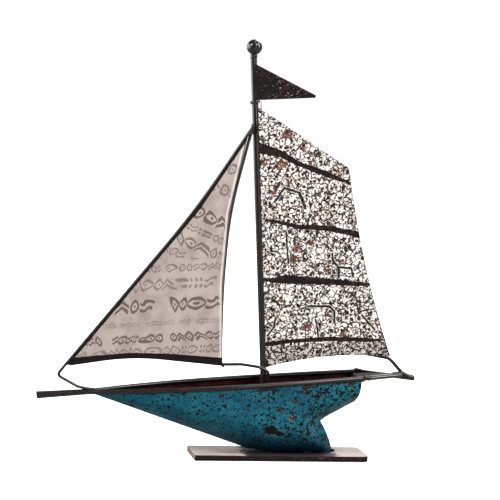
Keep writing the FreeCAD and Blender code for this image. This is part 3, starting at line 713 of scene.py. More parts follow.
        patch = sheet.blot((-17.2, -45.4), (7.4, 4.6), -12.0, 0.34)
        patch = patch.most(sheet.blot((-9.0, -49.6), (6.4, 2.5), -20.0, 0.3))
        halo = sheet.blot((-13.6, -47.4), (10.4, 5.6), -24.0, 0.3)
        spots = united(sheet.blot(middle, half, 12.0, 0.45, 2.2) for middle, half in self.spots)
        under_rim = sheet.blot((-20.0, -4.4), (13.0, 1.7), 4.0, 0.3)
        colour = sheet.blend(halo * 0.12, colour, self.chip)
        rusty = sheet.cloud(2.5, 3.0).fade(0.44, 0.62)
        rusty = rusty * sheet.blot((5.0, -33.0), (9.0, 6.0), 0.0, 0.2).most(0.25)
        colour = sheet.blend(spots * 0.92, colour, sheet.blend(rusty, self.bare, self.rust))
        colour = sheet.blend(patch.most(under_rim * 0.85), colour, self.bare)
        edge = self._edge(sheet)
        colour = sheet.blend(edge * 0.92, colour, self.bare)
        # A pale spot low on the side, near the foot.
        pale = sheet.blot((23.3, -74.9), (4.2, 0.8), -4.0, 0.4, 1.5)
        colour = sheet.blend(pale * 0.8, colour, self.pale_spot)
        bare_all = patch.most(spots).most(edge).most(worn).most(large)
        relief = sheet.cloud(14.0, 2.0) * 1.4 + fine * 0.12 - bare_all * 0.5 - small * 0.3
        return colour, relief, bare_all

    def make(self) -> bpy.types.Material:
        """Mix the finish.

        Returns:
            The hull's material, for both of its faces.
        """
        sheet = FinishSheet(self.name)
        side = sheet.maths("SIGN", sheet.y)
        outside = (sheet.part_of(sheet.normal, 1) * side).fade(-0.02, 0.06)
        outer, relief, bare = self._outside(sheet)
        grime = sheet.cloud(8.0, 5.0, 0.6)
        inner = sheet.blend(grime.fade(0.4, 0.75), self.inner, self.inner_light)
        colour = sheet.blend(outside, inner, outer)
        rough = 0.36 + grime * 0.14 + bare * 0.14
        return sheet.finish(colour, rough, 0.0, 0.0, relief, 0.2, 0.1)


@dataclass(frozen=True)
class MarkRow:
    """One row of marks: its middle, its height, how dark it is and its shift along the row."""

    middle: float
    height: float
    strength: float
    shift: float


@dataclass(frozen=True)
class JibPaint:
    """Warm light grey with rows of taupe marks, and a dark brown border along its edges."""

    name: str = "jib_paint"
    ground: Shade = seen(170, 158, 152)
    shaded: Shade = seen(146, 132, 125)
    mark: Shade = seen(78, 65, 59)
    border: Shade = seen(17, 11, 10)
    slant_deg: float = -27.0
    level_rows: tuple[MarkRow, ...] = (
        MarkRow(119.6, 9.0, 0.7, 0.0), MarkRow(103.8, 15.4, 0.65, 3.1),
        MarkRow(83.0, 16.4, 1.0, 7.7), MarkRow(65.0, 6.5, 0.55, 2.3),
        MarkRow(50.2, 10.8, 1.0, 9.2), MarkRow(36.8, 11.4, 0.65, 5.9),
    )
    slant_rows: tuple[MarkRow, ...] = (
        MarkRow(172.0, 14.0, 0.7, 1.3), MarkRow(150.0, 14.0, 0.7, 4.4),
        MarkRow(119.0, 16.0, 1.0, 6.1), MarkRow(102.5, 9.5, 0.7, 8.3),
        MarkRow(88.0, 14.0, 0.8, 2.9), MarkRow(73.5, 11.0, 0.65, 3.7),
    )
    split: float = 127.5
    hook: Spot = (-226.0, 19.0)
    knee: Spot = (-80.9, 177.0)
    head: Spot = (-20.5, 258.4)
    foot_line: tuple[Spot, ...] = (
        (-220.0, 34.0), (-205.0, 35.0), (-153.0, 36.3), (-115.0, 33.0), (-85.0, 29.3),
        (-60.0, 25.6), (-40.0, 24.0))
    leech_line: tuple[Spot, ...] = (
        (19.0, -59.0), (100.0, -56.4), (172.0, -47.6), (249.5, -26.5))
    # Colour of the painted highlight along the leech's curled edge.
    leech_strip: Shade = seen(224, 214, 208)
    back_dark: Shade = seen(50, 40, 35)
    back_light: Shade = seen(98, 82, 72)
    back_heat: Shade = seen(92, 56, 38)
    back_speck: Shade = seen(30, 22, 19)

    def _marks(self, sheet: FinishSheet, x: Reading, z: Reading,
               rows: Sequence[MarkRow]) -> Reading:
        """Rows of plain marks: rings with a dot, waves, lozenges, bars and dots.

        Args:
            sheet: the tree.
            x: distance along the rows.
            z: height across the rows.
            rows: the rows.

        Returns:
            The strength of the print.
        """
        middle: Any = 0.0
        height: Any = 0.001
        strength: Any = 0.0
        shift: Any = 0.0
        for row in rows:
            here = sheet.maths("COMPARE", z, row.middle, row.height / 2)
            middle = here * row.middle + middle
            height = here * row.height + height
            strength = here * row.strength + strength
            shift = here * row.shift + shift
        cell = height * 0.8
        along = (x + sheet.cloud(26.0, 1.0) * 30.0) / cell + shift
        number = sheet.maths("FLOOR", along)
        own = sheet.node("ShaderNodeTexWhiteNoise", {"noise_dimensions": "2D"},
                         {"Vector": sheet.vector(number, shift, 0.0)})
        pick = Reading(sheet, own.outputs["Value"])
        px = (along - number - 0.5) * 2.0
        pz = (z - middle) / (height / 2)
        away = sheet.maths("SQRT", px * px + pz * pz)
        slim = abs(px)
        tall = abs(pz)
        ring = abs(away - 0.68).least(away)
        lozenge = (abs(slim + tall - 0.88) * 0.7).least(away)
        waves = abs(abs(pz - sheet.maths("SINE", px * math.pi) * 0.22) - 0.38)
        chevrons = abs(abs(pz + slim * 0.7 - 0.3) - 0.34) * 0.85
        dots = sheet.maths("SQRT", (slim - 0.42) * (slim - 0.42)
                           + (tall - 0.42) * (tall - 0.42)) - 0.12
        leaf = (abs(tall - (1.0 - px * px) * 0.62) * 0.85).least(away)
        kinds = (ring, chevrons, lozenge, waves, leaf, dots, waves)
        distance: Any = 0.0
        for index, kind in enumerate(kinds):
            chosen = pick.above(index / len(kinds)) * pick.below((index + 1) / len(kinds))
            distance = chosen * kind + distance
        gap = pick.above(0.93) + pick.below(0.03)
        half_stroke = 0.08 + strength * 0.1
        inked = ((distance - half_stroke) * height).fade(0.6, -0.4)
        inside = slim.below(0.95) * tall.below(0.98) * height.above(1.0)
        return inked * inside * (1.0 - gap.least(1.0)) * strength

    def make(self) -> bpy.types.Material:
        """Mix the finish.

        Returns:
            The jib's material.
        """
        sheet = FinishSheet(self.name)
        cos, sin = math.cos(math.radians(self.slant_deg)), math.sin(math.radians(self.slant_deg))
        turned_x = sheet.x * cos + sheet.z * sin
        turned_z = sheet.z * cos - sheet.x * sin
        level = self._marks(sheet, sheet.x, sheet.z, self.level_rows)
        slant = self._marks(sheet, turned_x, turned_z, self.slant_rows)
        upper = sheet.z.above(self.split)
        print_strength = level * (1.0 - upper) + slant * upper

        mottle = sheet.cloud(18.0, 4.0, 0.6)
        colour = sheet.blend(mottle.fade(0.3, 0.75), self.ground, self.shaded)
        grain = sheet.cloud(1.6, 4.0, 0.7)
        colour = sheet.blend(grain.fade(0.5, 0.8) * 0.35, colour, self.shaded)
        faded = 0.6 + sheet.cloud(3.0, 2.0) * 0.6
        colour = sheet.blend((print_strength * faded).least(0.85), colour, self.mark)

        uneven = sheet.cloud(6.0, 2.0) * 0.8

        def inward(first: Spot, second: Spot) -> Reading:
            """How far aft of one straight stretch of the luff a place lies.

            Args:
                first: the stretch's lower end.
                second: its upper end.

            Returns:
                The distance.
            """
            run = math.hypot(second[0] - first[0], second[1] - first[1])
            cos_line, sin_line = (second[0] - first[0]) / run, (second[1] - first[1]) / run
            return (sheet.x - first[0]) * sin_line - (sheet.z - first[1]) * cos_line

        luff = inward(self.hook, self.knee).most(inward(self.knee, self.head))
        foot = sheet.z - sheet.profile(sheet.x, self.foot_line)
        leech = sheet.profile(sheet.z, self.leech_line) - sheet.x
        bound = (luff - uneven - 2.0).fade(0.35, -0.35).most((foot - uneven).fade(0.7, 0.1))
        bound = bound.most((leech - 1.9).fade(0.3, -0.2) * 0.85)
        # Painted highlight: a light strip just inside the leech, where the curled edge catches the
        # light.
        colour = sheet.blend((leech - 4.2).fade(0.5, -0.5) * 0.5, colour, self.leech_strip)
        colour = sheet.blend(bound, colour, self.border)
        back = sheet.part_of(sheet.normal, 1).fade(0.2, 0.6)
        bare = sheet.blend(mottle, self.back_dark, self.back_light)
        heat = sheet.cloud(7.0, 4.0, 0.6, bend=0.6).fade(0.5, 0.62)
        bare = sheet.blend(heat * 0.6, bare, self.back_heat)
        bare = sheet.blend(sheet.speckles(3.0, 0.5, 0.42, 4.0), bare, self.back_speck)
        colour = sheet.blend(back, colour, bare)
        relief = mottle * 1.2 + grain * 0.12 - bound * 0.2
        return sheet.finish(colour, 0.46 + grain * 0.12, 0.0, 0.0, relief, 0.15, 0.12)


@dataclass(frozen=True)
class Band:
    """One dark band across the mainsail: its upper and its lower edge."""

    upper: tuple[Spot, ...]
    lower: tuple[Spot, ...]


@dataclass(frozen=True)
class MainsailPaint:
    """Crackled off-white paint with dark specks, rust spots and four dark bands."""

    name: str = "mainsail_paint"
    white: Shade = seen(226, 220, 213)
    grey: Shade = seen(200, 194, 189)
    speck: Shade = seen(11, 8, 7)
    rust: Shade = seen(92, 52, 31)
    pale_rust: Shade = seen(176, 140, 110)
    band: Shade = seen(13, 7, 6)
    band_worn: Shade = seen(62, 38, 30)
    hem_shade: Shade = seen(150, 142, 138)
    brown_ink: Shade = seen(58, 30, 19)
    blot_light: Shade = seen(116, 70, 44)
    blot_dark: Shade = seen(66, 37, 24)
    cell: float = 5.8
    wide_cell: float = 11.0
    leech_line: tuple[Spot, ...] = (
        (15.0, 113.5), (36.0, 106.6), (72.0, 97.6), (115.1, 88.7), (157.0, 81.6),
        (203.6, 75.5), (211.4, 74.3))
    bands: tuple[Band, ...] = (
        Band(((-18.0, 241.2), (-15.3, 240.6), (4.7, 232.9), (22.7, 220.6), (52.0, 209.0),
              (74.2, 197.9), (80.0, 195.4)),
             ((-18.0, 230.2), (-15.6, 229.7), (4.5, 224.9), (22.5, 215.6), (51.8, 202.8),
              (74.2, 195.0), (80.0, 192.5))),
        Band(((-12.4, 162.6), (-11.5, 164.4), (2.7, 161.7), (20.9, 157.1), (50.5, 154.6),
              (68.9, 150.1), (81.2, 147.4), (90.0, 145.8)),
             ((-12.4, 162.6), (-11.6, 161.6), (2.6, 158.4), (20.7, 152.3), (50.4, 149.0),
              (68.7, 144.5), (81.0, 140.6), (90.0, 138.0))),
        Band(((-18.0, 104.2), (-4.1, 104.8), (6.0, 107.2), (14.3, 105.8), (36.8, 103.1),
              (59.3, 99.6), (92.2, 94.1), (99.0, 93.0)),
             ((-18.0, 101.8), (-4.3, 99.3), (14.1, 97.1), (36.6, 95.5), (59.2, 93.5),
              (92.2, 90.6), (99.0, 89.8))),
        Band(((-20.4, 39.6), (-6.0, 40.6), (12.5, 41.5), (46.4, 41.8), (79.5, 39.2),
              (94.0, 37.3), (107.4, 35.5)),
             ((-20.5, 35.3), (-6.1, 36.0), (12.4, 37.7), (46.3, 37.3), (79.4, 34.9),
              (93.8, 33.7), (107.3, 34.6))),
    )
    rust_blots: tuple[tuple[Spot, Spot], ...] = (
        ((-2.9, 190.4), (3.0, 2.4)), ((44.3, 186.7), (3.0, 2.2)), ((28.5, 233.0), (2.8, 1.8)),
        ((36.3, 226.7), (2.8, 1.9)), ((-9.4, 258.2), (2.4, 1.4)), ((12.0, 247.0), (7.0, 5.0)),
        ((32.9, 139.4), (3.2, 2.0)), ((18.8, 134.0), (6.0, 3.4)), ((35.0, 137.5), (2.6, 2.0)),
        ((2.2, 80.7), (2.4, 1.8)), ((28.3, 53.5), (4.4, 3.4)), ((63.9, 43.6), (4.2, 1.8)),
        ((78.1, 43.8), (2.8, 2.2)), ((15.2, 122.5), (5.4, 3.0)), ((51.5, 108.9), (3.8, 2.4)),
        ((64.7, 116.8), (3.6, 2.4)), ((-12.0, 220.0), (4.0, 3.0)), ((4.0, 217.0), (8.0, 4.0)),
    )
    strokes: tuple[tuple[tuple[Spot, ...], float], ...] = (
        (((-2.2, 180.9), (8.2, 194.3), (16.0, 191.5), (23.2, 188.7)), 1.3),
        (((23.2, 188.7), (26.0, 181.0), (28.8, 173.0)), 2.0),
        (((-6.9, 136.4), (-7.5, 131.5), (-1.7, 130.9), (2.0, 128.5)), 0.8),
        (((55.2, 125.8), (55.6, 118.2), (61.3, 111.6), (74.3, 109.9), (76.0, 102.0)), 1.1),
        (((61.3, 111.6), (61.1, 102.0)), 1.4),
        (((-4.8, 64.0), (-6.5, 55.0), (-13.4, 46.3)), 0.9),
        (((28.9, 73.8), (50.5, 72.6), (55.8, 67.0), (55.5, 56.3)), 1.2),
        (((36.0, 60.0), (38.0, 50.0), (38.5, 42.0)), 0.8),
        (((8.7, 150.0), (9.0, 136.0), (10.0, 119.0)), 0.7),
        (((84.0, 62.0), (90.0, 54.0), (97.0, 46.0)), 0.9),
    )

    def _drawn(self, sheet: FinishSheet, wider: float) -> Reading:
        """The long cracks.

        Args:
            sheet: the tree.
            wider: what is added to each crack's own width.

        Returns:
            One on a crack, nought elsewhere.
        """
        return united(sheet.stroke(path, width + wider) for path, width in self.strokes)

    def _band_mask(self, sheet: FinishSheet, band: Band, seed: float) -> Reading:
        """One band with its ragged outline.

        Args:
            sheet: the tree.
            band: the band's edges.
            seed: shifts the unevenness.

        Returns:
            One inside the band, nought elsewhere.
        """
        uneven = sheet.cloud(4.0, 4.0, 0.65,
                             sheet.shifted(sheet.place, (seed * 31.0, 0.0, seed * 17.0)))
        top = sheet.profile(sheet.x, band.upper) + (uneven - 0.5) * 2.6
        low = sheet.profile(sheet.x, band.lower) + (uneven - 0.5) * 2.2
        ends = sheet.x.above(band.upper[0][0]) * sheet.x.below(band.upper[-1][0])
        return (top - sheet.z).fade(-0.25, 0.25) * (sheet.z - low).fade(-0.25, 0.25) * ends

    def make(self) -> bpy.types.Material:
        """Mix the finish.

        Returns:
            The mainsail's material.
        """
        sheet = FinishSheet(self.name)
        broad = sheet.cloud(24.0, 3.0, 0.55)
        colour = sheet.blend(broad.fade(0.35, 0.7) * 0.6, self.white, self.grey)
        colour = sheet.blend(sheet.z.fade(36.0, 33.0) * 0.6, colour, self.hem_shade)
        warm = sheet.cloud(11.0, 4.0, 0.6, bend=0.6)
        colour = sheet.blend(warm.fade(0.52, 0.7) * 0.5, colour, self.pale_rust)

        crowd = 0.78 + sheet.cloud(13.0, 2.0) * 0.5
        bent = sheet.wandered(3.4, 1.2)
        middle, own = sheet.cells(self.cell, bent)
        border = sheet.cells(self.cell, bent, True)[0] * self.cell
        broken = sheet.cloud(4.2, 2.0)
        net = border.fade(0.62, 0.36) * broken.fade(0.4, 0.46)
        hearts = (own * 0.3 * crowd + 0.05 - middle).fade(-0.03, 0.02)
        worms = (sheet.cloud(2.8, 3.0, 0.6, bend=0.7) + crowd * 0.1).fade(0.685, 0.705)
        dust = sheet.speckles(2.6, 0.5, 0.42, 5.0, 0.45, crowd)
        large = sheet.speckles(6.2, 0.5, 0.3, 3.0, 0.42, crowd)
        brown_specks = sheet.speckles(4.2, 0.5, 0.46, 8.0, 0.42, crowd)
        tinge = sheet.cloud(6.0, 2.0).fade(0.5, 0.62)
        ink = sheet.blend(tinge * 0.8, self.speck, self.brown_ink)
        colour = sheet.blend(brown_specks * 0.9, colour, self.rust)
        colour = sheet.blend(dust * 0.95, colour, ink)
        colour = sheet.blend(net * 0.96, colour, ink)
        colour = sheet.blend(hearts.most(worms) * 0.98, colour, ink)

        blots = united(sheet.blot(middle, half, 20.0, 0.45, 2.4)
                       for middle, half in self.rust_blots)
        blots = blots * sheet.cloud(1.8, 2.0).fade(0.34, 0.46)
        colour = sheet.blend(blots * 0.94, colour, sheet.blend(
            sheet.cloud(2.0, 2.0).fade(0.4, 0.6), self.blot_light, self.blot_dark))
        colour = sheet.blend(large * 0.97, colour, self.speck)

        wide_gap = sheet.cells(self.wide_cell, sheet.wandered(4.0, 1.6), True)[0]
        crackle = (wide_gap * self.wide_cell).fade(0.5, 0.2) * sheet.cloud(9.0).fade(0.42, 0.55)
        drawn = self._drawn(sheet, 1.1)
        cracks = crackle.most(drawn)
        pale_rim = self._drawn(sheet, 2.6)
        colour = sheet.blend((pale_rim - drawn).most(0.0) * 0.4, colour, self.white)
        colour = sheet.blend(cracks * 0.97, colour, self.speck)

        bands = united(self._band_mask(sheet, band, float(number))
                       for number, band in enumerate(self.bands))
        tack = sheet.blot((-16.5, 18.0), (4.6, 6.5), 20.0, 0.5)
        head = sheet.blot((-14.6, 271.5), (2.2, 1.5), -30.0, 0.3)
        # Dark strip along the luff by the mast: the sheet's own dark edge, with painted shade
        # where the sail meets the mast.
        luff = (sheet.x - (MAST_X + 1.2) - sheet.cloud(5.0, 3.0) * 2.2).fade(0.3, -0.2)
        dark = bands.most(tack).most(head).most(luff)
        brown = sheet.blend(sheet.cloud(3.0, 3.0).fade(0.5, 0.75), self.band, self.band_worn)
        colour = sheet.blend(dark, colour, brown)
        leech_strip = sheet.profile(sheet.z, self.leech_line) - sheet.x
        colour = sheet.blend((leech_strip - 0.5).fade(0.3, -0.2) * 0.8, colour, self.speck)
        back = sheet.part_of(sheet.normal, 1).fade(0.2, 0.6)
        colour = sheet.blend(back * 0.35, colour, self.band)
        relief = sheet.cloud(9.0, 2.0) * 1.4 - cracks * 0.5 - hearts * 0.3 - dark * 0.5
        rough = 0.42 + broad * 0.15 - dark * 0.08
        return sheet.finish(colour, rough, 0.0, 0.0, relief, 0.12, 0.12)


@dataclass(frozen=True)
class FootSteel:
    """Brushed bar steel, browned and smeared, with near-black edges; the top face is painted light
    as a painted reflection of the white surroundings.
    """

    name: str = "foot_steel"
    # The top's light colours are a painted reflection of the white surroundings in the glossy top.
    painted_reflection: Shade = seen(158, 147, 141)
    brushed_and_reflection: Shade = seen(128, 115, 109)
    smear: Shade = seen(92, 78, 71)
    side: Shade = seen(18, 13, 12)
    side_rust: Shade = seen(70, 44, 35)
    end: Shade = seen(120, 110, 105)
    shadow: Shade = seen(26, 19, 17)

    def make(self) -> bpy.types.Material:
        """Mix the finish.

        Returns:
            The foot's material.
        """
        sheet = FinishSheet(self.name)
        drawn = sheet.shifted(sheet.place, (0.12, 1.0, 1.0), "MULTIPLY")
        brush = sheet.cloud(0.8, 4.0, 0.6, drawn)
        colour = sheet.blend(brush.fade(0.35, 0.65) * 0.4, self.painted_reflection, self.brushed_and_reflection)
        streak = sheet.cloud(14.0, 5.0, 0.65, sheet.shifted(sheet.place, (0.35, 1.0, 1.0),
                                                            "MULTIPLY"), 0.8)
        colour = sheet.blend(streak.fade(0.52, 0.72) * 0.55, colour, self.smear)
        # Painted shadow and painted reflection of the dark hull on the top face, where the hull
        # stands on it.
        contact = sheet.blot((3.5, -74.5), (47.0, 30.0), -4.4, 0.12, 6.0)
        rubbed = sheet.framed(sheet.wandered(6.0, 1.5), (-60.0, -74.5), 0.0, (30.0, UNBOUNDED))
        sweep = abs(sheet.y + 8.0 + sheet.part_of(rubbed, 0) * 7.0)
        smear = sweep.fade(6.0, 1.5) * sheet.x.fade(-84.0, -60.0) * sheet.x.fade(-20.0, -36.0)
        colour = sheet.blend(smear * sheet.cloud(3.0, 3.0).fade(0.35, 0.6) * 0.8, colour,
                             self.smear)
        colour = sheet.blend(contact * 0.97, colour, self.shadow)
        grain = sheet.cloud(3.0, 5.0, 0.65)
        dark = sheet.blend(grain.fade(0.5, 0.75), self.side, self.side_rust)
        scratch = sheet.cloud(1.6, 3.0, 0.6, drawn).fade(0.68, 0.74)
        dark = sheet.blend(scratch * 0.4, dark, self.brushed_and_reflection)
        fore_end = (-sheet.part_of(sheet.normal, 0)).fade(0.6, 0.9)
        dark = sheet.blend(fore_end, dark, sheet.blend(grain, self.end, self.smear))
        # Painted reflection: the top face takes the light colours, while the sides stay dark.
        top = sheet.part_of(sheet.normal, 2).fade(0.45, 0.85)
        colour = sheet.blend(top, dark, colour)
        relief = brush * 0.4 + grain * 0.5
        return sheet.finish(colour, 0.55 + streak * 0.15, 0.0, 0.0, relief, 0.05, 0.12)


@dataclass(frozen=True)
class FloorPaper:
    """Plain white paper, lit from below as on a light table, and dim for other surfaces."""

    name: str = "floor_paper"
    pale: Shade = seen(190, 190, 190)
    paler: Shade = seen(196, 196, 196)
    near_glow: Shade = seen(228, 228, 228)
    far_glow: Shade = seen(255, 255, 255)
    near: float = 250.0
    far: float = 800.0
    bounce: Shade = seen(140, 140, 140)

    def make(self) -> bpy.types.Material:
        """Mix the finish.

        Returns:
            The floor's material.
        """
        sheet = FinishSheet(self.name)
        colour = sheet.blend(sheet.cloud(300.0, 2.0) * 0.1, self.pale, self.paler)
        away = sheet.maths("SQRT", sheet.x * sheet.x + sheet.y * sheet.y)
        glow = sheet.blend(away.fade(self.near, self.far), self.near_glow, self.far_glow)
        paper = sheet.node("ShaderNodeBsdfPrincipled", None, {
            "Base Color": colour, "Roughness": 0.9, "Specular IOR Level": 0.0,
            "Emission Color": glow, "Emission Strength": 1.0})
        dim = sheet.node("ShaderNodeBsdfDiffuse", None, {"Color": self.bounce})
        direct = sheet.node("ShaderNodeLightPath").outputs["Is Camera Ray"]
        both = sheet.node("ShaderNodeMixShader", None,
                          {0: direct, 1: dim.outputs[0], 2: paper.outputs[0]})
        sheet.node("ShaderNodeOutputMaterial", None, {0: both.outputs[0]})
        return sheet.material


# Meshes

@contextmanager
def editing(mesh: bpy.types.Mesh) -> Iterator[bmesh.types.BMesh]:
    """Open a mesh for changes and write them back to it.

    Args:
        mesh: the mesh.

    Yields:
        The mesh in its open form.
    """
    shape = bmesh.new()
    shape.from_mesh(mesh)
    yield shape
    shape.to_mesh(mesh)
    shape.free()


def link(name: str, data: bpy.types.ID) -> bpy.types.Object:
    """Put data in the scene.

    Args:
        name: the object's name.
        data: its mesh, curve, light or camera.

    Returns:
        The new object.
    """
    made = bpy.data.objects.new(name, data)
    bpy.context.scene.collection.objects.link(made)
    return made


def baked(source: bpy.types.Object, name: str) -> bpy.types.Object:
    """Turn an object with its modifiers into a plain mesh in its place.

    Args:
        source: the object, which is removed.
        name: the new object's name.

    Returns:
        The new object.
    """
    graph = bpy.context.evaluated_depsgraph_get()
    graph.update()
    mesh = bpy.data.meshes.new_from_object(source.evaluated_get(graph), depsgraph=graph)
    old = source.data
    bpy.data.objects.remove(source)
    if old.users == 0 and isinstance(old, bpy.types.Mesh):
        bpy.data.meshes.remove(old)
    mesh.name = name
    return link(name, mesh)


def dress(piece: bpy.types.Object, material: bpy.types.Material) -> None:
    """Give a new piece its finish and its body.

    Args:
        piece: the piece.
        material: its finish.
    """
    piece.data.materials.clear()
    piece.data.materials.append(material)
    for face in piece.data.polygons:
        face.material_index = 0
    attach(piece, BODY)
    log.info("%s: %d faces", piece.name, len(piece.data.polygons))


@dataclass(frozen=True)
class Lump:
    """One swelling of a weld: its middle, its radius and its stretch along the three axes."""

    middle: Vector
    radius: float
    stretch: tuple[float, float, float] = (1.0, 1.0, 1.0)


class ShapeSheet(NodeSheet):
    """A Geometry Nodes tree that repeats a bead along a path."""

    def __init__(self, name: str, material: bpy.types.Material, seed: int) -> None:
        """Start the tree and lay its nodes.

        Args:
            name: the tree's name.
            material: the beads' finish.
            seed: sets the beads' sizes and turns.
        """
        group = bpy.data.node_groups.new(name, "GeometryNodeTree")
        super().__init__(group)
        face = group.interface
        face.new_socket("Path", in_out="INPUT", socket_type="NodeSocketGeometry")
        self.radius = face.new_socket("Bead Radius", in_out="INPUT",
                                      socket_type="NodeSocketFloat").identifier
        self.spacing = face.new_socket("Spacing", in_out="INPUT",
                                       socket_type="NodeSocketFloat").identifier
        face.new_socket("Beads", in_out="OUTPUT", socket_type="NodeSocketGeometry")
        source = self.node("NodeGroupInput")
        curve = self.node("GeometryNodeMeshToCurve", None, {0: source.outputs["Path"]})
        points = self.node("GeometryNodeResampleCurve", {"mode": "LENGTH"},
                           {"Curve": curve.outputs[0], "Length": source.outputs["Spacing"]})
        bead = self.node("GeometryNodeMeshIcoSphere", None,
                         {"Radius": source.outputs["Bead Radius"], "Subdivisions": 2})
        size = self.node("FunctionNodeRandomValue", {"data_type": "FLOAT_VECTOR"},
                         {0: (0.85, 0.8, 0.7), 1: (1.35, 1.15, 1.15), "Seed": seed})
        turn = self.node("FunctionNodeRandomValue", {"data_type": "FLOAT_VECTOR"},
                         {0: (-0.3, -0.3, -0.3), 1: (0.3, 0.3, 0.3), "Seed": seed + 1})
        placed = self.node("GeometryNodeInstanceOnPoints", None,
                           {"Points": points.outputs[0], "Instance": bead.outputs[0],
                            "Scale": size.outputs[0], "Rotation": turn.outputs[0]})
        real = self.node("GeometryNodeRealizeInstances", None, {0: placed.outputs[0]})
        rounded = self.node("GeometryNodeSetShadeSmooth", None, {0: real.outputs[0]})
        dressed = self.node("GeometryNodeSetMaterial", None,
                            {0: rounded.outputs[0], "Material": material})
        self.node("NodeGroupOutput", None, {0: dressed.outputs[0]})


@dataclass
class BeadSeam:
    """A welded seam: a row of small overlapping beads along a path."""

    name: str
    paths: list[list[Vector]]
    radius: float
    spacing: float
    seed: int = 1

    def build(self, material: bpy.types.Material) -> bpy.types.Object:
        """Lay the beads along the paths.

        Args:
            material: the beads' finish.

        Returns:
            The beads as a plain mesh.
        """
        mesh = bpy.data.meshes.new(self.name + "_path")
        points: list[Vector] = []
        edges: list[tuple[int, int]] = []
        for path in self.paths:
            start = len(points)
            points.extend(path)
            edges.extend((start + step, start + step + 1) for step in range(len(path) - 1))
        mesh.from_pydata(points, edges, [])
        carrier = link(self.name + "_path", mesh)
        sheet = ShapeSheet(self.name + "_rule", material, self.seed)
        modifier = carrier.modifiers.new("beads", "NODES")
        modifier.node_group = sheet.tree
        modifier[sheet.radius] = self.radius * MM
        modifier[sheet.spacing] = self.spacing * MM
        return baked(carrier, self.name)


@dataclass
class WeldLumps:
    """The blobs of weld where rods meet, each one run together out of rounded swellings."""

    name: str
    lumps: list[Lump]
    voxel: float = 0.4
    evening: float = 0.5
    evenings: int = 4
    waviness: float = 0.22
    ripple: float = 1.6

    def build(self) -> bpy.types.Object:
        """Run the swellings together and ripple their skin.

        Returns:
            The blobs as one closed mesh.
        """
        mesh = bpy.data.meshes.new(self.name)
        with editing(mesh) as shape:
            for lump in self.lumps:
                size = Matrix.Diagonal(
                    (*[share * lump.radius * MM for share in lump.stretch], 1.0))
                bmesh.ops.create_icosphere(shape, subdivisions=3, radius=1.0,
                                           matrix=Matrix.Translation(lump.middle) @ size)
        rough = link(self.name + "_rough", mesh)
        remesh = rough.modifiers.new("run_together", "REMESH")
        remesh.mode = "VOXEL"
        remesh.voxel_size = self.voxel * MM
        even = rough.modifiers.new("even", "SMOOTH")
        even.factor = self.evening
        even.iterations = self.evenings
        piece = baked(rough, self.name)
        places: list[float] = []
        coarse = self.ripple * MM
        for spot, out in [(v.co.copy(), v.normal.copy()) for v in piece.data.vertices]:
            wave = noise.noise(spot / coarse) + 0.5 * noise.noise(spot / (coarse / 2))
            places.extend(spot + out * (wave * self.waviness * MM))
        piece.data.vertices.foreach_set("co", places)
        piece.data.update()
        piece.data.shade_smooth()
        return piece


# Sub-assemblies

@dataclass
class Finishes:
    """Every finish of the ornament, made once."""

    steel: bpy.types.Material = field(default_factory=lambda: LacqueredSteel().make())
    weld: bpy.types.Material = field(default_factory=lambda: LacqueredSteel(
        "weld_steel", seen(24, 19, 18), seen(84, 73, 66), seen(84, 56, 42), 2.0, 0.7, 0.3).make())
    gusset: bpy.types.Material = field(default_factory=lambda: LacqueredSteel(
        "gusset_steel", seen(19, 10, 9), seen(38, 22, 19), seen(54, 30, 23), 5.0, 0.5, 0.0).make())
    pennant: bpy.types.Material = field(default_factory=lambda: PennantPaint().make())
    wire: bpy.types.Material = field(default_factory=lambda: BrightWire().make())
    hull: bpy.types.Material = field(default_factory=lambda: HullPaint().make())
    jib: bpy.types.Material = field(default_factory=lambda: JibPaint().make())
    main: bpy.types.Material = field(default_factory=lambda: MainsailPaint().make())
    foot: bpy.types.Material = field(default_factory=lambda: FootSteel().make())
    floor: bpy.types.Material = field(default_factory=lambda: FloorPaper().make())


def cover(node: str, material: bpy.types.Material) -> None:
    """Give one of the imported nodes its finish.

    Args:
        node: the node's name.
        material: its finish.
    """
    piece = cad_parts[node]
    piece.data.materials.clear()
    piece.data.materials.append(material)
    log.info("%s: finish %s", node, material.name)


def merged_copy(node: str, name: str) -> bpy.types.Object:
    """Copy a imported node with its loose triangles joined.

    Args:
        node: the node's name.
        name: the copy's name.

    Returns:
        The copy.
    """
    mesh = bpy.data.meshes.new(name)
    with editing(mesh) as shape:
        shape.from_mesh(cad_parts[node].data)
        bmesh.ops.remove_doubles(shape, verts=shape.verts, dist=JOINED)
    return link(name, mesh)


@dataclass
class Foot:
    """The flat bar foot, with its edges eased."""

    edge: float = 0.9
    segments: int = 3
    flat_deg: float = 2.0
    corner_deg: float = 50.0
    crisp_deg: float = 35.0

    def build(self, finishes: Finishes) -> None:
        """Round the bar's edges and dress it.

        Args:
            finishes: every finish.
        """
        rough = merged_copy("base_plate", "foot_bar_rough")
        with editing(rough.data) as shape:
            bmesh.ops.dissolve_limit(shape, angle_limit=math.radians(self.flat_deg),
                                     verts=shape.verts, edges=shape.edges)
        bevel = rough.modifiers.new("eased_edges", "BEVEL")
        bevel.width = self.edge * MM
        bevel.segments = self.segments
        bevel.limit_method = "ANGLE"
        bevel.angle_limit = math.radians(self.corner_deg)
        bevel.harden_normals = False
        piece = baked(rough, "foot_bar")
        with editing(piece.data) as shape:
            bmesh.ops.triangulate(shape, faces=shape.faces)
        piece.data.shade_smooth()
        piece.data.set_sharp_from_angle(angle=math.radians(self.crisp_deg))
        dress(piece, finishes.foot)
        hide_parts("base_plate")


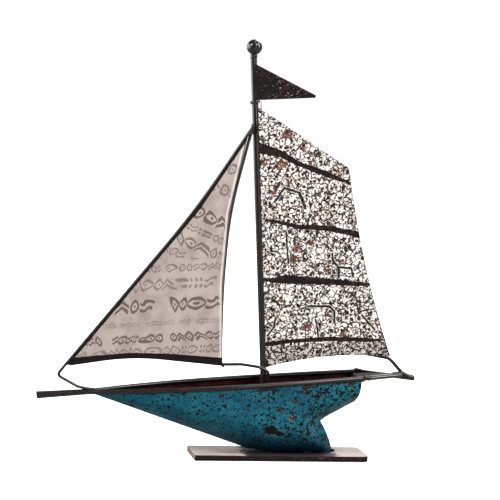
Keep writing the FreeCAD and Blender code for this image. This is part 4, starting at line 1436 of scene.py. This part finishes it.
@dataclass
class Hull:
    """The hull's sides and transom, with their welded seams."""

    seam_radius: float = 0.55
    seam_spacing: float = 0.9
    stem: tuple[Spot, ...] = ((-189.2, -2.5), (-34.0, -68.6))
    counter: tuple[Spot, ...] = ((38.2, -43.0), (75.5, -25.9))
    contact: float = 0.02
    sample: float = 2.0
    lift: Spot = (0.2, 0.15)
    keel_steps: int = 8
    keel_inset: float = 0.25

    def _foot_line(self, node: str, side: int) -> list[Vector]:
        """The line where one side of the hull stands on the foot.

        Args:
            node: the side's node.
            side: one to port, minus one to starboard.

        Returns:
            The line's points, just clear of the corner.
        """
        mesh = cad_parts[node].data
        reach: dict[int, Vector] = {}
        for vertex in mesh.vertices:
            if abs(vertex.co.z - FOOT_TOP * MM) > self.contact * MM:
                continue
            key = round(vertex.co.x / (self.sample * MM))
            if key not in reach or side * vertex.co.y > side * reach[key].y:
                reach[key] = vertex.co.copy()
        out, up = self.lift
        clear = Vector((0.0, side * out * MM, up * MM))
        return [reach[key] + clear for key in sorted(reach)]

    def build(self, finishes: Finishes) -> None:
        """Dress the sides and lay the seams.

        Args:
            finishes: every finish.
        """
        for node in ("hull_starboard_side", "hull_port_side", "transom_plate"):
            cover(node, finishes.hull)
        lines = [self._foot_line("hull_starboard_side", -1), self._foot_line("hull_port_side", 1)]
        foot_seam = BeadSeam("keel_foot_weld", lines, 0.9, 1.3, 5).build(finishes.weld)
        dress(foot_seam, finishes.weld)
        edges = [[BOAT.place(x, 0.0, z) for x, z in line] for line in (self.stem, self.counter)]
        paint = HullPaint()
        aft = [paint.keel_aft(step / self.keel_steps) for step in range(self.keel_steps + 1)]
        keel = [BOAT.place(x - self.keel_inset, 0.0, z) for x, z in aft]
        seam = BeadSeam("hull_seam_weld", edges + [keel], self.seam_radius, self.seam_spacing, 9)
        dress(seam.build(finishes.hull), finishes.hull)


@dataclass
class Rigging:
    """Mast, rails and the sails' rods, with the welds that join them."""

    tie_wire: float = 0.85
    tie_turns: float = 2.5
    tie_rise: float = 3.0
    tie_level: float = 281.2
    tie_lean: float = 0.9
    tie_start: float = -0.4
    tie_gap: float = 0.02
    tie_slack: float = 0.2
    tie_ends: Spot = (279.9, 282.6)
    tie_steps: int = 96
    rods: tuple[str, ...] = (
        "starboard_rail", "port_rail", "mast", "masthead_ball", "jib_luff_rod", "jib_boom",
        "jib_leech_rod", "mainsail_luff_wire", "mainsail_strut")

    def _welds(self) -> list[Lump]:
        """The weld at every joint.

        Returns:
            The swellings, joint by joint.
        """
        place, jib = BOAT.place, BOAT.jib
        bow = [Lump(place(-195.5, 0.0, 2.9), 2.0, (1.7, 1.0, 0.9)),
               Lump(place(-190.0, -1.6, 2.2), 1.6), Lump(place(-191.5, 2.0, 2.4), 1.5)]
        head = [Lump(place(-25.7, -4.1, 245.2), 1.75, (1.0, 1.0, 1.5)),
                Lump(place(-24.7, -4.1, 248.2), 1.7, (1.0, 1.0, 1.5)),
                Lump(place(-23.7, -4.1, 251.2), 1.75, (1.0, 1.0, 1.5)),
                Lump(place(-22.8, -4.1, 254.2), 1.8, (1.0, 1.0, 1.5)),
                Lump(place(-21.7, -3.9, 257.2), 1.9, (1.0, 1.0, 1.3)),
                Lump(place(-21.0, -3.2, 251.5), 1.3, (0.8, 1.0, 2.6))]
        clew = [Lump(jib(-60.2, 0.0, 19.6), 2.0, (1.2, 1.0, 1.0)),
                Lump(jib(-59.0, -0.3, 17.4), 1.3)]
        gooseneck = [Lump(place(-19.6, -3.9, 14.6), 1.8, (1.3, 0.8, 1.0)),
                     Lump(place(-17.4, -4.4, 13.0), 1.5)]
        near = [Lump(place(81.5, -22.7, 1.0), 2.9, (1.4, 0.9, 0.95)),
                Lump(place(85.8, -21.4, -0.2), 2.7, (1.2, 1.0, 1.0)),
                Lump(place(79.0, -22.6, -1.2), 2.3, (1.4, 0.8, 1.0))]
        far = [Lump(place(83.4, 22.2, 1.3), 2.5, (1.5, 0.9, 0.9)),
               Lump(place(86.8, 20.9, 0.6), 2.2)]
        tip = [Lump(place(118.5, 0.0, -1.4), 2.7, (1.9, 1.2, 0.85)),
               Lump(place(123.5, 0.6, -1.6), 3.0, (1.5, 1.1, 0.95)),
               Lump(place(126.5, 1.4, -2.2), 2.7, (1.2, 1.0, 1.0)),
               Lump(place(128.4, 0.4, -2.8), 2.5, (1.0, 1.1, 1.0)),
               Lump(place(131.6, -0.2, -4.7), 2.9, (1.3, 1.0, 1.0)),
               Lump(place(135.2, -0.3, -5.9), 2.75, (1.2, 1.0, 1.05))]
        heel = [Lump(place(51.4, 0.0, -75.7), 2.0, (1.2, 1.1, 0.7))]
        neck = [Lump(place(MAST_X + 0.5, 0.0, 326.6), 3.7, (1.0, 1.0, 0.45)),
                Lump(place(MAST_X - 1.6, -1.8, 325.2), 1.7, (1.0, 1.0, 1.3)),
                Lump(place(MAST_X + 2.0, -2.0, 326.0), 1.6, (1.0, 1.0, 1.1))]
        pennant = [Lump(place(MAST_X + 1.6, -3.2, 318.4), 1.0, (1.3, 0.8, 0.8)),
                   Lump(place(MAST_X + 2.6, -3.2, 300.0), 0.9, (0.8, 0.8, 1.6))]
        return bow + head + clew + gooseneck + near + far + tip + heel + neck + pennant

    def _tie(self, finishes: Finishes) -> None:
        """Wrap the wire round the mast.

        Args:
            finishes: every finish.
        """
        curve = bpy.data.curves.new("mast_wrap_line", "CURVE")
        curve.dimensions = "3D"
        curve.bevel_depth = self.tie_wire * MM
        curve.bevel_resolution = 3
        curve.use_fill_caps = True
        spline = curve.splines.new("POLY")
        spline.points.add(self.tie_steps)
        radius = MAST_RADIUS + self.tie_wire + self.tie_gap
        lowest, highest = self.tie_ends
        for step in range(self.tie_steps + 1):
            share = step / self.tie_steps
            turn = (share * self.tie_turns * 2 + self.tie_start) * math.pi
            lift = self.tie_level + self.tie_rise * (share - 0.5) + self.tie_lean * math.cos(turn)
            lift = min(max(lift, lowest), highest) if share in (0.0, 1.0) else lift
            ease = self.tie_slack * self.tie_wire * (1 + math.sin(turn * 1.5))
            spot = BOAT.place(MAST_X + (radius + ease) * math.cos(turn),
                              (radius + ease) * math.sin(turn), lift)
            spline.points[step].co = (*spot, 1.0)
        wrap = baked(link("mast_wrap_line", curve), "mast_wrap")
        wrap.data.shade_smooth()
        dress(wrap, finishes.steel)
        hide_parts("mast_tie")

    def build(self, finishes: Finishes) -> None:
        """Dress the rods and add welds and wrap.

        Args:
            finishes: every finish.
        """
        for node in self.rods:
            cover(node, finishes.steel)
        cover("head_loop", finishes.wire)
        blobs = WeldLumps("joint_welds", self._welds()).build()
        dress(blobs, finishes.weld)
        self._tie(finishes)


@dataclass
class SternGusset:
    """The small dark plate that closes the corner between the rails behind the transom."""

    outline: tuple[Spot, ...] = ((77.5, 21.6), (84.0, 21.4), (104.0, 11.0), (118.0, 2.5),
                                 (118.0, -1.5), (104.0, -10.5), (84.0, -21.4), (77.5, -21.6))
    level: float = -0.9
    thickness: float = 0.9

    def build(self, finishes: Finishes) -> None:
        """Make the plate between the rails.

        Args:
            finishes: every finish.
        """
        mesh = bpy.data.meshes.new("stern_gusset")
        down = BOAT.place(0.0, 0.0, -self.thickness) - BOAT.place(0.0, 0.0, 0.0)
        with editing(mesh) as shape:
            ring = [shape.verts.new(BOAT.place(x, y, self.level)) for x, y in self.outline]
            face = shape.faces.new(ring)
            face.normal_update()
            grown = bmesh.ops.extrude_face_region(shape, geom=[face])
            moved = [item for item in grown["geom"] if isinstance(item, bmesh.types.BMVert)]
            bmesh.ops.translate(shape, verts=moved, vec=down)
            bmesh.ops.recalc_face_normals(shape, faces=shape.faces)
            bmesh.ops.triangulate(shape, faces=shape.faces)
        piece = link("stern_gusset", mesh)
        dress(piece, finishes.gusset)


@dataclass
class Sails:
    """Jib, mainsail and pennant."""

    def build(self, finishes: Finishes) -> None:
        """Dress the sheets.

        Args:
            finishes: every finish.
        """
        cover("jib_sheet", finishes.jib)
        cover("mainsail_sheet", finishes.main)
        cover("pennant", finishes.pennant)


# Studio

class Reach(Enum):
    """A studio lamp's width and height in metres."""

    LINE = (0.4, 0.9)
    STRIP = (0.3, 1.3)
    WINDOW = (0.8, 0.7)
    BROAD = (1.1, 1.0)
    WALL = (2.6, 1.8)


@dataclass(frozen=True)
class Lamp:
    """One studio lamp, aimed at the ornament.

    Its place is given round the ornament, to the right of the camera's line and above the floor.
    """

    name: str
    turn_deg: float
    rise_deg: float
    distance: float
    power: float
    reach: Reach

    def build(self, aim: Vector, camera_deg: float) -> None:
        """Hang the lamp.

        Args:
            aim: the place that it lights.
            camera_deg: the camera's own turn.
        """
        turn = math.radians(self.turn_deg - camera_deg)
        rise = math.radians(self.rise_deg)
        away = Vector((math.sin(turn) * math.cos(rise), -math.cos(turn) * math.cos(rise),
                       math.sin(rise)))
        light = bpy.data.lights.new(self.name, "AREA")
        light.shape = "RECTANGLE"
        light.energy = self.power
        light.size, light.size_y = self.reach.value
        holder = link(self.name, light)
        holder.location = aim + away * self.distance
        holder.rotation_euler = (-away).to_track_quat("-Z", "Y").to_euler()


@dataclass(frozen=True)
class Studio:
    """Floor, backdrop light, lamps and the camera."""

    azimuth_deg: float = 10.6475
    elevation_deg: float = 5.9992
    roll_deg: float = 2.6079
    distance: float = 2.3
    aim: tuple[float, float, float] = (-0.037995, 0.0, 0.209736)
    lens: float = 165.6
    sensor: float = 36.0
    nearest: float = 0.05
    fill: float = 0.06
    floor_radius: float = 6.0
    floor_drop: float = 0.0002
    lamps: tuple[Lamp, ...] = (
        Lamp("key_lamp", 82.0, 30.0, 1.7, 34.0, Reach.STRIP),
        Lamp("front_lamp", 40.0, 42.0, 2.4, 42.0, Reach.WINDOW),
        Lamp("left_lamp", -52.0, 38.0, 2.4, 50.0, Reach.BROAD),
        Lamp("line_lamp", 24.0, -4.0, 2.0, 9.0, Reach.LINE),
        Lamp("back_lamp", -98.0, 6.0, 1.8, 85.0, Reach.WALL),
        Lamp("top_lamp", 60.0, 80.0, 2.0, 10.0, Reach.WINDOW),
        Lamp("rear_lamp", 160.0, 36.0, 2.4, 42.0, Reach.BROAD),
    )

    def _camera(self) -> None:
        """Stand the camera where the picture was taken from."""
        turn, rise = math.radians(self.azimuth_deg), math.radians(self.elevation_deg)
        roll = math.radians(self.roll_deg)
        ahead = Vector((math.sin(turn) * math.cos(rise), math.cos(turn) * math.cos(rise),
                        -math.sin(rise)))
        level = Vector((math.cos(turn), -math.sin(turn), 0.0))
        up = level.cross(ahead)
        right = level * math.cos(roll) + up * math.sin(roll)
        above = up * math.cos(roll) - level * math.sin(roll)
        spot = Vector(self.aim) - ahead * self.distance
        lens = bpy.data.cameras.new("picture_camera")
        lens.lens = self.lens
        lens.sensor_width = self.sensor
        lens.sensor_fit = "HORIZONTAL"
        lens.clip_start = self.nearest
        camera = link("picture_camera", lens)
        columns = Matrix((right, above, -ahead)).transposed().to_4x4()
        camera.matrix_world = Matrix.Translation(spot) @ columns
        bpy.context.scene.camera = camera

    def _world(self) -> None:
        """White all round for the camera, and softer for the light that it gives."""
        world = bpy.data.worlds.new("studio_white")
        world.use_nodes = True
        sheet = NodeSheet(world.node_tree)
        sheet.tree.nodes.clear()
        seen_ray = sheet.node("ShaderNodeLightPath").outputs["Is Camera Ray"]
        soft = sheet.node("ShaderNodeBackground", None, {0: WHITE, 1: self.fill})
        white = sheet.node("ShaderNodeBackground", None, {0: WHITE, 1: 1.0})
        both = sheet.node("ShaderNodeMixShader", None,
                          {0: seen_ray, 1: soft.outputs[0], 2: white.outputs[0]})
        sheet.node("ShaderNodeOutputWorld", None, {0: both.outputs[0]})
        bpy.context.scene.world = world

    def build(self, finishes: Finishes) -> None:
        """Set up the studio.

        Args:
            finishes: every finish.
        """
        mesh = bpy.data.meshes.new("floor")
        with editing(mesh) as shape:
            bmesh.ops.create_circle(shape, cap_ends=True, segments=96, radius=self.floor_radius)
        mesh.transform(Matrix.Translation((0.0, 0.0, -self.floor_drop)))
        floor = link("floor", mesh)
        mesh.materials.append(finishes.floor)
        self._world()
        for lamp in self.lamps:
            lamp.build(Vector(self.aim), self.azimuth_deg)
        self._camera()
        scene = bpy.context.scene
        scene.view_settings.view_transform = "Standard"
        scene.view_settings.look = "None"


def main() -> None:
    """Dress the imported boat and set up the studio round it."""
    logging.basicConfig(level=logging.INFO, format="%(message)s")
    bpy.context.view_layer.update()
    finishes = Finishes()
    for group in (Foot(), Hull(), Rigging(), SternGusset(), Sails()):
        group.build(finishes)
        log.info("%s done", type(group).__name__)
    Studio().build(finishes)
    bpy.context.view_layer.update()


if __name__ == "__main__":
    main()
